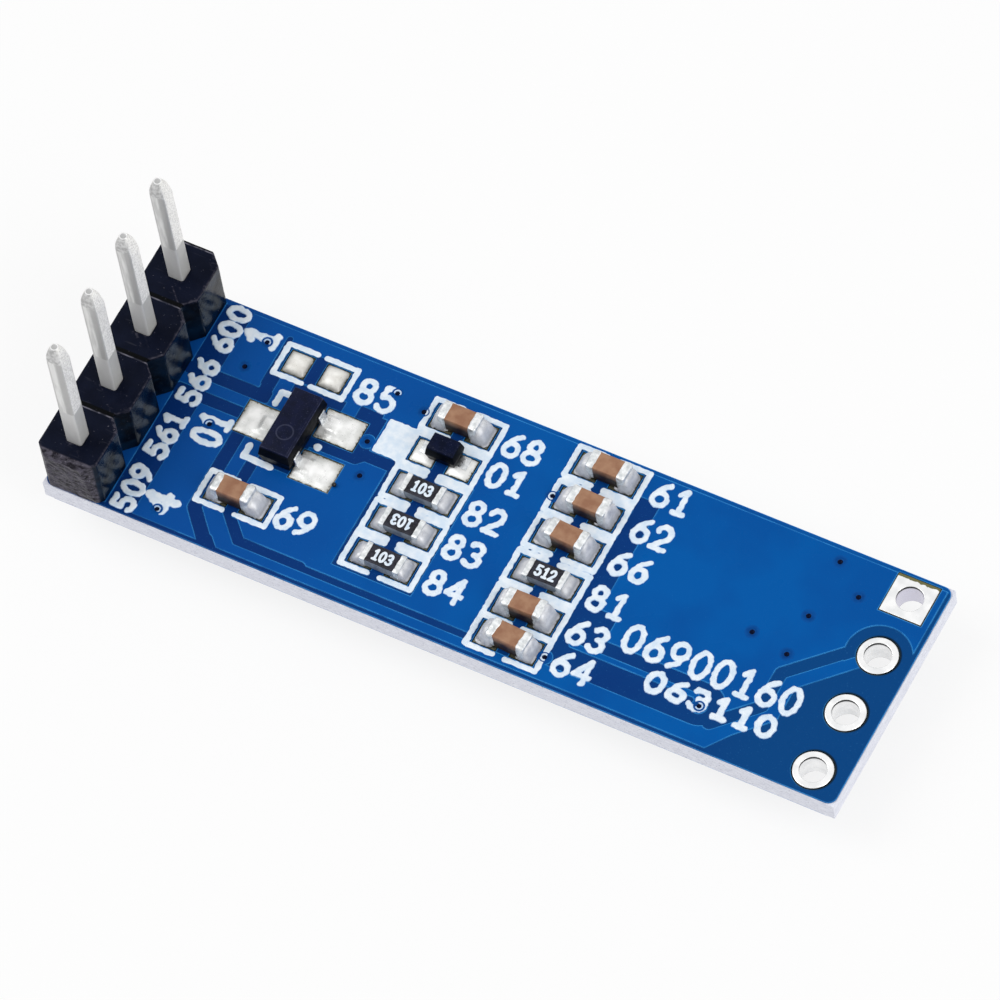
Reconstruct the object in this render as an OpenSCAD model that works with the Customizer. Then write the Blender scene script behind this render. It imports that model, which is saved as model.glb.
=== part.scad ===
// Small OLED module: a narrow two-sided circuit board with a four-pin header standing on its rear
// side, chip parts beside it, four spare plated holes at the other end, and a slim display panel
// taped to its front side. Millimetres. X runs along the board from the header to the spare holes,
// Y across it, and +Z points out of the rear side. The module lies on the face of its display,
// and the origin is on that face, under the middle of the board.

/* [Board] */
// Distance between the header row and the row of spare holes
row_span = 29.4; // [29.2:0.1:33]
// Distance from each row to the board's short edge
end_margin = 1.3; // [1:0.05:2]
// Distance from the outer holes to the board's long edges
side_margin = 1.015; // [0.9:0.005:2]
// Thickness of the finished board, with its foil and both mask layers
board_t = 1; // [0.6:0.1:1.6]
// Thickness of the finished copper foil on each side
copper_t = 0.05; // [0.035:0.005:0.07]
// Solder mask that covers the foil
mask_over_copper = 0.03; // [0.02:0.005:0.05]
// How far the mask steps down where there is no foil under it
mask_step = 0.02; // [0.01:0.005:0.03]
// Gap between the mask and the board's edge
mask_inset = 0.03; // [0:0.01:0.1]
// Radius of the mask's corners
mask_corner_r = 0.35; // [0.05:0.01:0.5]
// Gap between the foil and the board's edge
foil_inset = 0.2; // [0.1:0.05:0.4]
// Thickness of the white print
print_t = 0.02; // [0.01:0.005:0.04]
// Width of a printed line
print_line_w = 0.2; // [0.1:0.01:0.25]

/* [Plated holes] */
// Distance between neighbouring pins and between neighbouring holes
pitch = 2.54; // [2:0.01:3]
// Number of pins in the header and of spare holes
pin_count = 4; // [4:1:4]
// Finished bore of a spare hole
end_bore_d = 1.02; // [0.8:0.02:1.1]
// Diameter of the ring round a spare hole
end_ring_d = 1.5; // [1.3:0.02:1.8]
// Side of the square land round the first spare hole
square_land_w = 1.64; // [1.4:0.02:1.8]
// Finished bore of a header hole
header_bore_d = 1; // [0.96:0.02:1.1]
// Diameter of the ring round a header hole
header_ring_d = 1.6; // [1.3:0.02:1.8]
// Wall of the plating in a hole
plating_t = 0.03; // [0.02:0.005:0.05]
// How far the tinned ring stands above the mask
ring_rise = 0.015; // [0:0.005:0.03]
// Gap between a land and the edge of the mask's opening
mask_gap = 0.045; // [0.02:0.005:0.08]
// Bore of a via
via_bore_d = 0.2; // [0.1:0.02:0.3]
// Diameter of a via's land
via_land_d = 0.6; // [0.45:0.05:0.8]

/* [Header] */
// Width of the header housing
housing_w = 2.4; // [2:0.05:2.6]
// Height of the header housing
housing_h = 2.54; // [1.5:0.02:4]
// Corner cut of each pin's block in the housing
block_chamfer = 0.48; // [0.2:0.02:0.6]
// Width and depth of the groove across the top between two blocks
break_groove = 0.12; // [0.05:0.01:0.3]
// How far the snapped end of the housing leans in at its foot
snap_lean = 0.23; // [0:0.01:0.4]
// Side of a square pin
pin_w = 0.64; // [0.5:0.01:0.64]
// Length of a pin above the housing
pin_above = 6.1; // [3:0.1:12]
// Length of a pin below the board
pin_below = 1.2; // [1:0.05:1.4]
// Length of the taper at a pin's tip
pin_tip_l = 0.75; // [0.3:0.05:1.2]
// Side of the flat at a pin's tip
pin_tip_w = 0.3; // [0.1:0.02:0.5]
// Height of the solder cone round a pin on the front side
cone_h = 0.75; // [0.4:0.05:0.9]

/* [Chip parts] */
// Distance from the header row to the left column of chips
header_to_column_1 = 11.55; // [11.1:0.05:11.8]
// Distance between the two columns of chips
column_span = 5.65; // [5.4:0.05:6]
// Distance from the header row to the chip and the empty lands beside it
header_to_side_chip = 5.55; // [5.4:0.05:5.7]
// Distance from the header row to the transistor
header_to_transistor = 6.15; // [6:0.05:6.3]
// Place of the transistor across the board
transistor_y = 0.63; // [0.5:0.01:0.75]
// Length of a chip part
chip_l = 1.6; // [1.4:0.05:1.7]
// Width of a chip part
chip_w = 0.8; // [0.6:0.05:0.85]
// Height of a chip capacitor
capacitor_h = 0.8; // [0.4:0.05:0.9]
// Height of a chip resistor
resistor_h = 0.45; // [0.3:0.05:0.6]
// Length of a metal end on a chip part
end_l = 0.34; // [0.2:0.02:0.5]
// Thickness of the metal round a chip's end
end_t = 0.03; // [0.015:0.005:0.05]
// Thickness of a chip resistor's dark coat
coat_t = 0.02; // [0.01:0.005:0.03]
// Length of a chip's land
land_l = 0.9; // [0.7:0.05:1]
// Width of a chip's land
land_w = 0.94; // [0.8:0.02:1]
// Distance between the middles of a chip's two lands
land_span = 1.48; // [1.4:0.02:1.6]
// Thickness of the solder under a chip
film_t = 0.03; // [0.03:0.005:0.05]

/* [Transistor and diode] */
// Length of the transistor's body, across the board
transistor_l = 2.9; // [2.6:0.05:3.1]
// Width of the transistor's body, along the board
transistor_w = 1.3; // [1.1:0.05:1.5]
// Height of the transistor's body
transistor_h = 1; // [0.8:0.05:1.2]
// Reach of the transistor's leads, from foot to foot
transistor_reach = 2.4; // [2.2:0.05:2.8]
// Distance between the transistor's two leads on one side
transistor_lead_span = 1.9; // [1.8:0.05:2]
// Width of a transistor lead
lead_w = 0.42; // [0.3:0.02:0.5]
// Thickness of a lead
lead_t = 0.12; // [0.08:0.01:0.16]
// Draft of the moulded bodies, for each side and each half of the height
draft = 0.09; // [0.05:0.01:0.15]
// Length of the diode's body
diode_l = 1.22; // [1:0.02:1.4]
// Width of the diode's body
diode_w = 0.85; // [0.7:0.05:1]
// Height of the diode's body
diode_h = 0.85; // [0.6:0.05:1]
// Reach of the diode's leads, from end to end
diode_reach = 1.9; // [1.8:0.05:2.2]
// Width of a diode lead
diode_lead_w = 0.5; // [0.3:0.05:0.6]
// How far the diode sits off the middle of its lands, across the board
diode_shift = 0.16; // [0:0.02:0.2]

/* [Display panel] */
// Gap between the front glass and the header's lands
header_clear = 0.75; // [0.3:0.05:2]
// Gap between the fold of the flexible tail and the first spare hole's land
fold_clear = 0.35; // [0.15:0.05:1]
// Width of the panel
glass_w = 8; // [7:0.1:8.4]
// Thickness of each of the two glasses
glass_t = 0.5; // [0.3:0.05:0.7]
// Length of the bare ledge of the front glass, which carries the driver chip
ledge_l = 4.3; // [3.8:0.1:5]
// Thickness of the polarising film
polariser_t = 0.2; // [0.1:0.01:0.3]
// Gap between the polarising film and the cover glass's outline
polariser_inset = 0.3; // [0.1:0.05:0.6]
// Thickness of the double-sided tape
tape_t = 0.25; // [0.2:0.01:0.4]
// Gap between the tape and the cover glass's outline
tape_inset = 0.3; // [0.1:0.05:1]
// Length of the driver chip, across the panel
driver_l = 6.7; // [5:0.1:7]
// Width of the driver chip, along the panel
driver_w = 0.9; // [0.7:0.05:1.2]
// Height of the driver chip
driver_h = 0.28; // [0.2:0.01:0.35]
// Thickness of the clear resin on the ledge
resin_t = 0.14; // [0.08:0.01:0.18]
// Number of contacts on the flexible tail
tail_contacts = 14; // [10:1:14]
// Distance between neighbouring contacts
tail_pitch = 0.5; // [0.4:0.02:0.5]
// Width of a contact
tail_contact_w = 0.28; // [0.2:0.02:0.34]
// Length of a contact
tail_contact_l = 1; // [0.6:0.1:1.4]
// Thickness of the flexible tail
tail_t = 0.1; // [0.07:0.01:0.12]
// Length of the tail that is bonded to the glass
tail_bond_l = 0.9; // [0.6:0.1:1.2]
// Length of the tail that lies on the board after the fold
tail_run_l = 3.4; // [2.8:0.1:3.8]

/* [Hidden] */
$fn = 48;
// Depth by which a cut runs past the face that it opens
over = 0.5;

// Board outline and rows
board_l = row_span + 2 * end_margin;
board_w = (pin_count - 1) * pitch + 2 * side_margin;
header_x = -row_span / 2;
end_x = row_span / 2;
column_1_x = header_x + header_to_column_1;
column_2_x = column_1_x + column_span;
side_chip_x = header_x + header_to_side_chip;
transistor_x = header_x + header_to_transistor;
function row_y(i) = (i - (pin_count - 1) / 2) * pitch;
first_y = row_y(pin_count - 1);
second_y = row_y(pin_count - 2);
last_y = row_y(0);

// Levels, from the display's face upwards
z_glass = polariser_t;
z_cover = z_glass + glass_t;
z_tape = z_cover + glass_t;
z_board = z_tape + tape_t;
mask_t = copper_t + mask_over_copper;
mask_low = mask_t - mask_step;
z_core = z_board + mask_t;
z_core_top = z_board + board_t - mask_t;
z_land = z_core_top + copper_t;
z_mask_top = z_board + board_t;
z_chip = z_land + film_t;

// Foil areas on the rear side
foil_x = board_l / 2 - foil_inset;
foil_y = board_w / 2 - foil_inset;
// Width of the supply track, and of the gaps beside it
track_w = 0.46;
track_gap = 0.5;
// Clear ring of laminate round the second spare hole
clear_r = 1.24;
// The supply track runs down from the second spare hole, along the near edge and up to the side chip
track_slope_1 = 2.3;
track_slope_2 = 1.75;
track_turn_x = end_x - track_slope_1;
track_low_y = -foil_y + 0.4;
track_shelf_y = -foil_y + 0.14;
side_track_x = side_chip_x - 0.75;
supply_track = [
    [end_x, second_y],
    [track_turn_x, second_y - track_slope_1],
    [track_turn_x, track_low_y + track_slope_2],
    [track_turn_x - track_slope_2, track_low_y],
    [column_2_x + 3.3, track_low_y],
    [column_2_x + 3, track_shelf_y],
    [side_chip_x + 0.4, track_shelf_y],
    [side_track_x, track_shelf_y + 1.18],
    [side_track_x, transistor_y]
];
// Gap on the pour's side of the supply track
supply_gap = [
    [end_x - 0.1, second_y + 0.6],
    [track_turn_x - track_gap, second_y - track_slope_1 + 0.25],
    [track_turn_x - track_gap, track_low_y + track_slope_2 + 0.2],
    [track_turn_x - track_slope_2 - 0.15, track_low_y + 0.55]
];
// Long gap above the supply track at the near edge, up past the transistor's side
near_y = track_shelf_y + 0.305;
near_gap = [
    [column_2_x - 1, near_y],
    [side_chip_x + 3.45, near_y],
    [side_chip_x + 3.35, near_y + 0.1],
    [side_chip_x + 0.85, near_y + 0.1],
    [side_chip_x - 0.05, near_y + 1.03],
    [side_chip_x - 0.3, near_y + 1.78],
    [side_chip_x - 0.3, near_y + 3.23]
];
// Gap to the left of the supply track
left_x = side_track_x - 0.56;
left_gap = [
    [left_x, 0.1],
    [left_x, track_shelf_y + 1.03],
    [side_chip_x - 0.4, track_shelf_y + 0.03],
    [side_chip_x + 0.45, track_shelf_y - 0.27]
];
// Gaps round the lands beside the header
label_x = header_x + 1.3;
band_gap_left = [
    [label_x, 0.72], [side_chip_x + 0.95, 0.72], [side_chip_x + 3.05, 0.74],
    [side_chip_x + 3.3, 1], [side_chip_x + 4.55, 1]
];
band_gap_upper = [
    [label_x, 1.68], [side_chip_x - 1.15, 1.68], [left_x, 1.9], [left_x, 2.5]
];
riser_gap = [[left_x - 0.2, 2.2], [left_x - 0.2, 4.2]];
// Vias: distance from the header row, or from the spare row, and place across the board
header_vias = [
    [3.08, 2.5], [3.34, 3.75], [3.07, -0.18], [3.06, -4.1], [8.65, 1.55], [9.08, 0.17],
    [9.95, 3.5], [8.7, 3.8], [15.82, 2.3], [18.65, -3.72]
];
end_vias = [[2.95, 4.15], [1.7, 3.12], [2.97, 1.7], [4.5, 0.28], [2.97, -0.02], [4.83, -3.2]];
via_at = concat(
    [for (v = header_vias) [header_x + v[0], v[1]]],
    [for (v = end_vias) [end_x - v[0], v[1]]]
);
// Short signal track in the wide gap near the legend, which ends at the last via
signal_end = via_at[len(via_at) - 1];
signal_y = -2.86;
signal_track = [[column_2_x + 2.1, signal_y], [signal_end[0] - 0.3, signal_y], signal_end];
signal_w = 0.22;
// Wide gap round the signal track, with a round end
signal_gap_y = -3.1;
signal_gap_r = 0.88;

// Chips: place of each pair of lands
capacitor_at = [
    [column_2_x, 3.92], [column_2_x, 2.34], [column_2_x, 0.78], [column_2_x, -2.37], [column_2_x, -3.73],
    [column_1_x, 3.53], [side_chip_x - 0.02, -2.5]
];
resistor_at = [[column_2_x, -0.82], [column_1_x, 0.47], [column_1_x, -1.1], [column_1_x, -2.64]];
diode_at = [column_1_x, 2];
spare_at = [side_chip_x, 3.38];
// How each chip came to rest on its lands after reflow: along, across, turn in degrees
capacitor_rest = [
    [0.13, 0, 0], [0.16, -0.03, -1.5], [0.07, 0, -3], [0.02, -0.01, 0.5], [0.12, -0.02, -3.5],
    [-0.05, 0, 0], [-0.12, -0.03, 0]
];
resistor_rest = [[0.04, -0.03, 0], [0.02, -0.05, -1], [0, -0.02, 0], [0.07, -0.06, -1]];
// Window of bare mask round a pair of lands, inside its printed brackets
window_l = 2.64;
window_w = 1.12;
// Gap between the two brackets of one chip, and its shift along the board
bracket_gap = 0.52;
bracket_shift = -0.06;
// Outline of a printed bracket pair, to the middle of its line
bracket_l = window_l + print_line_w;
bracket_w = window_w + print_line_w;

// Lands of the transistor
base_land = [-1.52, 0.03, 1.36, 1.36];
side_land_l = 1.6;
side_land_w = 1.25;
side_land_x = 1.39;

// Panel
tail_film = 0.03;
tail_top_z = z_board - tail_film;
tail_bond_z = z_cover;
tail_fold_r = (tail_top_z - tail_bond_z) / 2;
panel_start = header_x + header_ring_d / 2 + header_clear;
panel_end = end_x - square_land_w / 2 - fold_clear - tail_fold_r;
glass_l = panel_end - panel_start;
cover_l = glass_l - ledge_l;
cover_x = panel_start + cover_l / 2;
tail_w = (tail_contacts - 1) * tail_pitch + 0.8;
contact_x = panel_end - tail_run_l + tail_contact_l / 2 + 0.15;

module place(at, rest = [0, 0, 0]) {
    translate([at[0] + rest[0], at[1] + rest[1], 0]) rotate([0, 0, rest[2]]) children();
}

// A line of even width with round ends, through a list of points
module stroke(points, w) {
    for (i = [0 : len(points) - 2]) {
        run = points[i + 1] - points[i];
        translate(points[i]) rotate(atan2(run[1], run[0])) translate([0, -w / 2]) square([norm(run), w]);
        translate(points[i]) circle(d = w, $fn = 16);
    }
    translate(points[len(points) - 1]) circle(d = w, $fn = 16);
}

// A block with all its edges cut, made where three cut outlines meet
module cut_outline(a, b, cut) {
    polygon([
        [-a / 2 + cut, -b / 2], [a / 2 - cut, -b / 2], [a / 2, -b / 2 + cut], [a / 2, b / 2 - cut],
        [a / 2 - cut, b / 2], [-a / 2 + cut, b / 2], [-a / 2, b / 2 - cut], [-a / 2, -b / 2 + cut]
    ]);
}

module cut_block(l, w, h, cut) {
    translate([0, 0, h / 2])
        intersection() {
            linear_extrude(h, center = true) cut_outline(l, w, cut);
            rotate([90, 0, 0]) linear_extrude(w, center = true) cut_outline(l, h, cut);
            rotate([90, 0, 90]) linear_extrude(l, center = true) cut_outline(w, h, cut);
        }
}

// A moulded body with draft above and below its parting line
module draft_outline(a, h) {
    polygon([
        [-a / 2 + draft, -h / 2], [a / 2 - draft, -h / 2], [a / 2, 0],
        [a / 2 - draft, h / 2], [-a / 2 + draft, h / 2], [-a / 2, 0]
    ]);
}

module moulded_block(l, w, h) {
    translate([0, 0, h / 2])
        intersection() {
            rotate([90, 0, 0]) linear_extrude(w, center = true) draft_outline(l, h);
            rotate([90, 0, 90]) linear_extrude(l, center = true) draft_outline(w, h);
        }
}

// ---- Board ----

module board_rect(inset) {
    square([board_l - 2 * inset, board_w - 2 * inset], center = true);
}

module land_pair() {
    for (side = [-1, 1])
        translate([side * land_span / 2, 0]) square([land_l, land_w], center = true);
}

module transistor_lands() {
    translate([transistor_x + base_land[0], transistor_y + base_land[1]])
        square([base_land[2], base_land[3]], center = true);
    for (side = [-1, 1])
        translate([transistor_x + side_land_x, transistor_y + side * transistor_lead_span / 2])
            square([side_land_l, side_land_w], center = true);
}

// Every land on the rear side that the mask leaves open, apart from the plated holes
module chip_lands() {
    for (at = capacitor_at) place(at) land_pair();
    for (at = resistor_at) place(at) land_pair();
    place(diode_at) land_pair();
    place(spare_at) land_pair();
    transistor_lands();
}

module via_circles(d) {
    for (at = via_at) translate(at) circle(d = d, $fn = 20);
}

// Areas of bare laminate between the pour and the tracks
module rear_gaps() {
    translate([end_x, second_y]) circle(r = clear_r);
    stroke(supply_gap, track_gap);
    // No foil beyond the supply track at the last two spare holes
    polygon([
        [end_x + 0.35, second_y], [track_turn_x, second_y - track_slope_1 - 0.3],
        [track_turn_x, track_low_y + track_slope_2], [track_turn_x - track_slope_2, -board_w / 2],
        [board_l / 2, -board_w / 2], [board_l / 2, second_y]
    ]);
    // Wide gap of the signal track
    translate([column_2_x + 1.6, signal_gap_y - signal_gap_r])
        square([signal_end[0] - column_2_x - 1.6, 2 * signal_gap_r]);
    translate([signal_end[0], signal_gap_y]) circle(r = signal_gap_r);
    // Gap beside the legends of the right column
    translate([column_2_x + 1.3, -3.9]) square([1.05, 7.5]);
    translate([column_2_x + 1.3, -2.5]) square([1.8, 1.35]);
    // Under the two columns of chips
    translate([column_2_x - window_l / 2 - 0.1, -4.45]) square([window_l + 0.2, 9]);
    translate([column_1_x - bracket_l / 2 - 0.25, -3.5]) square([bracket_l + 0.4, 4.85]);
    translate([column_1_x - bracket_l / 2, 0]) square([bracket_l, 4.1]);
    stroke(near_gap, 0.44);
    translate([side_chip_x - 0.55, near_y + 1.8]) square([0.5, 1.4]);
    stroke(left_gap, 0.54);
    stroke(band_gap_left, 0.5);
    stroke(band_gap_upper, 0.54);
    stroke(riser_gap, 0.24);
    // Round the empty lands, the transistor and the lone chip
    place(spare_at) square([window_l, window_w + 0.15], center = true);
    translate([transistor_x - 1.05, 2.15]) square([2.1, 0.55]);
    translate([transistor_x + 1.6, 2.05]) square([0.95, 0.75]);
    translate([transistor_x + 2.17, 0.95]) square([0.58, 1.7]);
    translate([transistor_x - 0.8, transistor_y - 1.5]) square([1.5, 3]);
    place([capacitor_at[6][0], capacitor_at[6][1]]) square([window_l, window_w], center = true);
    // Under the labels beside the header
    translate([header_x + 1.2, -board_w / 2]) square([1.12, board_w]);
}

module rear_foil() {
    difference() {
        union() {
            difference() {
                translate([header_x - 0.6, -foil_y]) square([foil_x - header_x + 0.6, 2 * foil_y]);
                rear_gaps();
            }
            intersection() {
                board_rect(foil_inset);
                stroke(supply_track, track_w);
            }
            stroke(signal_track, signal_w);
            // Track from the second pin to the transistor
            stroke([[header_x, second_y - 0.08], [transistor_x - 2, second_y - 0.08]], 0.42);
            // Track from the empty lands down to the transistor
            stroke([[spare_at[0] - 0.74, spare_at[1]], [spare_at[0] - 0.74, transistor_y]], 0.45);
            stroke([[spare_at[0] + 1.95, 3.2], [spare_at[0] + 1.95, transistor_y + 1]], 0.42);
            chip_lands();
            via_circles(via_land_d);
        }
        // Clear rings round the plated holes that the foil doesn't join
        for (i = [0 : pin_count - 3]) translate([end_x, row_y(i)]) circle(d = end_ring_d + 0.5);
    }
}

// Openings in the mask on the rear side
module rear_openings() {
    for (at = capacitor_at) place(at) offset(delta = mask_gap) land_pair();
    for (at = resistor_at) place(at) offset(delta = mask_gap) land_pair();
    place(diode_at) offset(delta = mask_gap) land_pair();
    place(spare_at) offset(delta = mask_gap) land_pair();
    offset(delta = mask_gap) transistor_lands();
    hole_openings();
}

module hole_openings() {
    for (i = [0 : pin_count - 2])
        translate([end_x, row_y(i)]) circle(d = end_ring_d + 2 * mask_gap);
    translate([end_x, first_y]) square(square_land_w + 2 * mask_gap, center = true);
    for (i = [0 : pin_count - 1])
        translate([header_x, row_y(i)]) circle(d = header_ring_d + 2 * mask_gap);
}

// Lands of the flexible tail on the front side
module tail_lands(grow = 0) {
    for (i = [0 : tail_contacts - 1])
        translate([contact_x, (i - (tail_contacts - 1) / 2) * tail_pitch])
            square([tail_contact_l + grow, tail_contact_w + grow], center = true);
}

module front_foil() {
    difference() {
        board_rect(foil_inset);
        translate([contact_x, 0]) square([tail_contact_l + 0.5, tail_w + 0.4], center = true);
        for (i = [0 : pin_count - 2]) translate([end_x, row_y(i)]) circle(d = end_ring_d + 0.5);
        for (i = [0 : pin_count - 2]) translate([header_x, row_y(i)]) circle(d = header_ring_d + 0.5);
    }
    tail_lands();
    via_circles(via_land_d);
}

// Round bores through the foil for the hole platings and the vias
module plating_bores(z, h) {
    for (i = [0 : pin_count - 2]) translate([end_x, row_y(i), z]) cylinder(d = end_ring_d, h = h);
    translate([end_x - square_land_w / 2, first_y - square_land_w / 2, z])
        cube([square_land_w, square_land_w, h]);
    for (i = [0 : pin_count - 1]) translate([header_x, row_y(i), z]) cylinder(d = header_ring_d, h = h);
    via_bores(z, h, via_bore_d + 2 * plating_t);
}

module via_bores(z, h, d) {
    for (at = via_at) translate([at[0], at[1], z]) cylinder(d = d, h = h, $fn = 24);
}

module laminate_core() {
    color("#E2E4EA")
        difference() {
            translate([-board_l / 2, -board_w / 2, z_core]) cube([board_l, board_w, z_core_top - z_core]);
            for (i = [0 : pin_count - 1]) {
                translate([end_x, row_y(i), z_core - over])
                    cylinder(d = end_bore_d + 2 * plating_t, h = board_t + 2 * over);
                translate([header_x, row_y(i), z_core - over])
                    cylinder(d = header_bore_d + 2 * plating_t, h = board_t + 2 * over);
            }
            via_bores(z_core - over, board_t + 2 * over, via_bore_d + 2 * plating_t);
        }
}

module copper_rear() {
    color("#C98A52")
        difference() {
            translate([0, 0, z_core_top]) linear_extrude(copper_t) offset(delta = 0) rear_foil();
            plating_bores(z_core_top - over, copper_t + 2 * over);
        }
}

module copper_front() {
    color("#C98A52")
        difference() {
            translate([0, 0, z_core - copper_t]) linear_extrude(copper_t) offset(delta = 0) front_foil();
            plating_bores(z_core - copper_t - over, copper_t + 2 * over);
        }
}

module mask_outline() {
    offset(r = mask_corner_r) board_rect(mask_inset + mask_corner_r);
}

// The mask is a film that steps up over the foil: the laminate level first, then the raised tops.
// It stays raised under the print as well, so the print lies flat.
module mask_rear() {
    color("#0B55A2")
        translate([0, 0, z_core_top])
            difference() {
                union() {
                    linear_extrude(copper_t)
                        offset(delta = 0) difference() { mask_outline(); rear_foil(); rear_openings(); }
                    translate([0, 0, copper_t]) linear_extrude(mask_low - copper_t)
                        offset(delta = 0) difference() { mask_outline(); rear_openings(); }
                    translate([0, 0, mask_low]) linear_extrude(mask_step)
                        offset(delta = 0) difference() {
                            intersection() {
                                union() { rear_foil(); print_outline(); }
                                mask_outline();
                            }
                            rear_openings();
                        }
                }
                via_bores(-over, 1 + over, via_bore_d + 2 * plating_t);
            }
}

module mask_front() {
    color("#0B55A2")
        translate([0, 0, z_board])
            difference() {
                union() {
                    linear_extrude(mask_over_copper)
                        offset(delta = 0) difference() { mask_outline(); hole_openings(); tail_lands(0.1); }
                    translate([0, 0, mask_over_copper]) linear_extrude(copper_t)
                        offset(delta = 0) difference() {
                            mask_outline();
                            front_foil();
                            hole_openings();
                            tail_lands(0.1);
                        }
                }
                via_bores(-over, 1 + over, via_bore_d + 2 * plating_t);
            }
}

// A pair of printed brackets round two lands
module brackets(gap = bracket_gap) {
    for (side = [-1, 1])
        stroke([
            [side * gap / 2 + bracket_shift, bracket_w / 2],
            [side * bracket_l / 2, bracket_w / 2],
            [side * bracket_l / 2, -bracket_w / 2],
            [side * gap / 2 + bracket_shift, -bracket_w / 2]
        ], print_line_w);
}

// All printed outlines: brackets, the transistor's corners, the polarity bar and the dot
module print_outline() {
    for (at = capacitor_at) place(at) brackets();
    for (at = resistor_at) place(at) brackets();
    place(diode_at) brackets();
    place(spare_at) brackets(0.38);
    stroke([
        [transistor_x - 0.92, transistor_y + 1.47], [transistor_x - 1.3, transistor_y + 1.47],
        [transistor_x - 1.3, transistor_y + 0.95]
    ], 0.25);
    stroke([
        [transistor_x - 1.3, transistor_y - 1.0], [transistor_x - 1.3, transistor_y - 1.47],
        [transistor_x - 0.2, transistor_y - 1.5]
    ], 0.25);
    translate([transistor_x + 0.98, transistor_y - 0.04]) circle(d = 0.3, $fn = 24);
    offset(r = 0.06) translate([column_1_x - bracket_l / 2 - 1.09, diode_at[1] - 0.68])
        square([1.15, 1.36]);
}

module print_rear() {
    color("#E4ECF4")
        translate([0, 0, z_mask_top])
            linear_extrude(print_t)
                offset(delta = 0) difference() { print_outline(); rear_openings(); }
}

// ---- Plated holes ----

// Half section of a plated hole with tinned rings on both sides, turned round its axis
module plated_hole(bore_d, ring_d, rise) {
    r0 = bore_d / 2;
    r1 = r0 + plating_t;
    r2 = ring_d / 2;
    bevel = min(0.03, copper_t / 2);
    top = z_mask_top + rise;
    low = z_board;
    rotate_extrude()
        polygon([
            [r0, low], [r2 - bevel, low], [r2, low + bevel], [r2, z_core], [r1, z_core],
            [r1, z_core_top], [r2, z_core_top], [r2, top - bevel], [r2 - bevel, top], [r0, top]
        ]);
}

module header_plating() {
    color("#D9DCDF")
        for (i = [0 : pin_count - 1])
            translate([header_x, row_y(i), 0]) plated_hole(header_bore_d, header_ring_d, 0);
}

module square_plated_hole() {
    half = square_land_w / 2;
    difference() {
        union() {
            translate([0, 0, z_core]) cylinder(r = end_bore_d / 2 + plating_t, h = z_core_top - z_core);
            translate([-half, -half, z_board]) cube([square_land_w, square_land_w, z_core - z_board]);
            translate([-half, -half, z_core_top])
                cube([square_land_w, square_land_w, mask_t + ring_rise]);
        }
        translate([0, 0, z_board - over]) cylinder(d = end_bore_d, h = board_t + 2 * over);
    }
}

module end_plating() {
    color("#D9DCDF") {
        for (i = [0 : pin_count - 2])
            translate([end_x, row_y(i), 0]) plated_hole(end_bore_d, end_ring_d, ring_rise);
        translate([end_x, first_y, 0]) square_plated_hole();
    }
}

module vias() {
    color("#B9794A")
        for (at = via_at)
            translate([at[0], at[1], z_core - copper_t])
                difference() {
                    cylinder(d = via_bore_d + 2 * plating_t, h = z_land - z_core + copper_t, $fn = 24);
                    translate([0, 0, -over]) cylinder(d = via_bore_d, h = board_t + 2 * over, $fn = 24);
                }
}

// ---- Header ----

// Outline of the housing: one cut-cornered block for each pin, joined at the notches
module housing_outline() {
    x0 = housing_w / 2;
    x1 = x0 - block_chamfer;
    h = pitch / 2;
    right = [
        for (i = [0 : pin_count - 1], p = [[x1, -h], [x0, -h + block_chamfer], [x0, h - block_chamfer]])
            [p[0], row_y(i) + p[1]]
    ];
    end_y = first_y + h;
    left = [for (i = [len(right) - 1 : -1 : 0]) [-right[i][0], right[i][1]]];
    polygon(concat(right, [[x1, end_y], [-x1, end_y]], left));
}

module header_housing() {
    near = last_y - pitch / 2;
    color("#17181F")
        translate([header_x, 0, z_mask_top])
            difference() {
                linear_extrude(housing_h) housing_outline();
                // Grooves where the strip breaks
                for (i = [1 : pin_count - 1])
                    translate([-housing_w, row_y(i) - pitch / 2, housing_h]) rotate([45, 0, 0])
                        cube([2 * housing_w, break_groove, break_groove], center = false);
                // The end that was snapped from the strip
                rotate([90, 0, 90]) translate([0, 0, -housing_w])
                    linear_extrude(2 * housing_w)
                        polygon([
                            [near - over, -over], [near + snap_lean, -0.001],
                            [near, housing_h], [near - over, housing_h + over]
                        ]);
                for (i = [0 : pin_count - 1])
                    translate([-pin_w / 2, row_y(i) - pin_w / 2, -over])
                        cube([pin_w, pin_w, housing_h + 2 * over]);
            }
}

// Side view of a pin: square wire with both ends pressed to a taper
module pin_profile() {
    low = -pin_below - board_t;
    high = housing_h + pin_above;
    w = pin_w / 2;
    t = pin_tip_w / 2;
    tail = (w - t) * 1.2;
    polygon([
        [-t, low], [t, low], [w, low + tail], [w, high - pin_tip_l],
        [t, high], [-t, high], [-w, high - pin_tip_l], [-w, low + tail]
    ]);
}

module header_pin(i) {
    color("#C9CBCD")
        translate([header_x, row_y(pin_count - i), z_mask_top])
            intersection() {
                rotate([90, 0, 0]) linear_extrude(pin_w, center = true) pin_profile();
                rotate([90, 0, 90]) linear_extrude(pin_w, center = true) pin_profile();
            }
}

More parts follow.
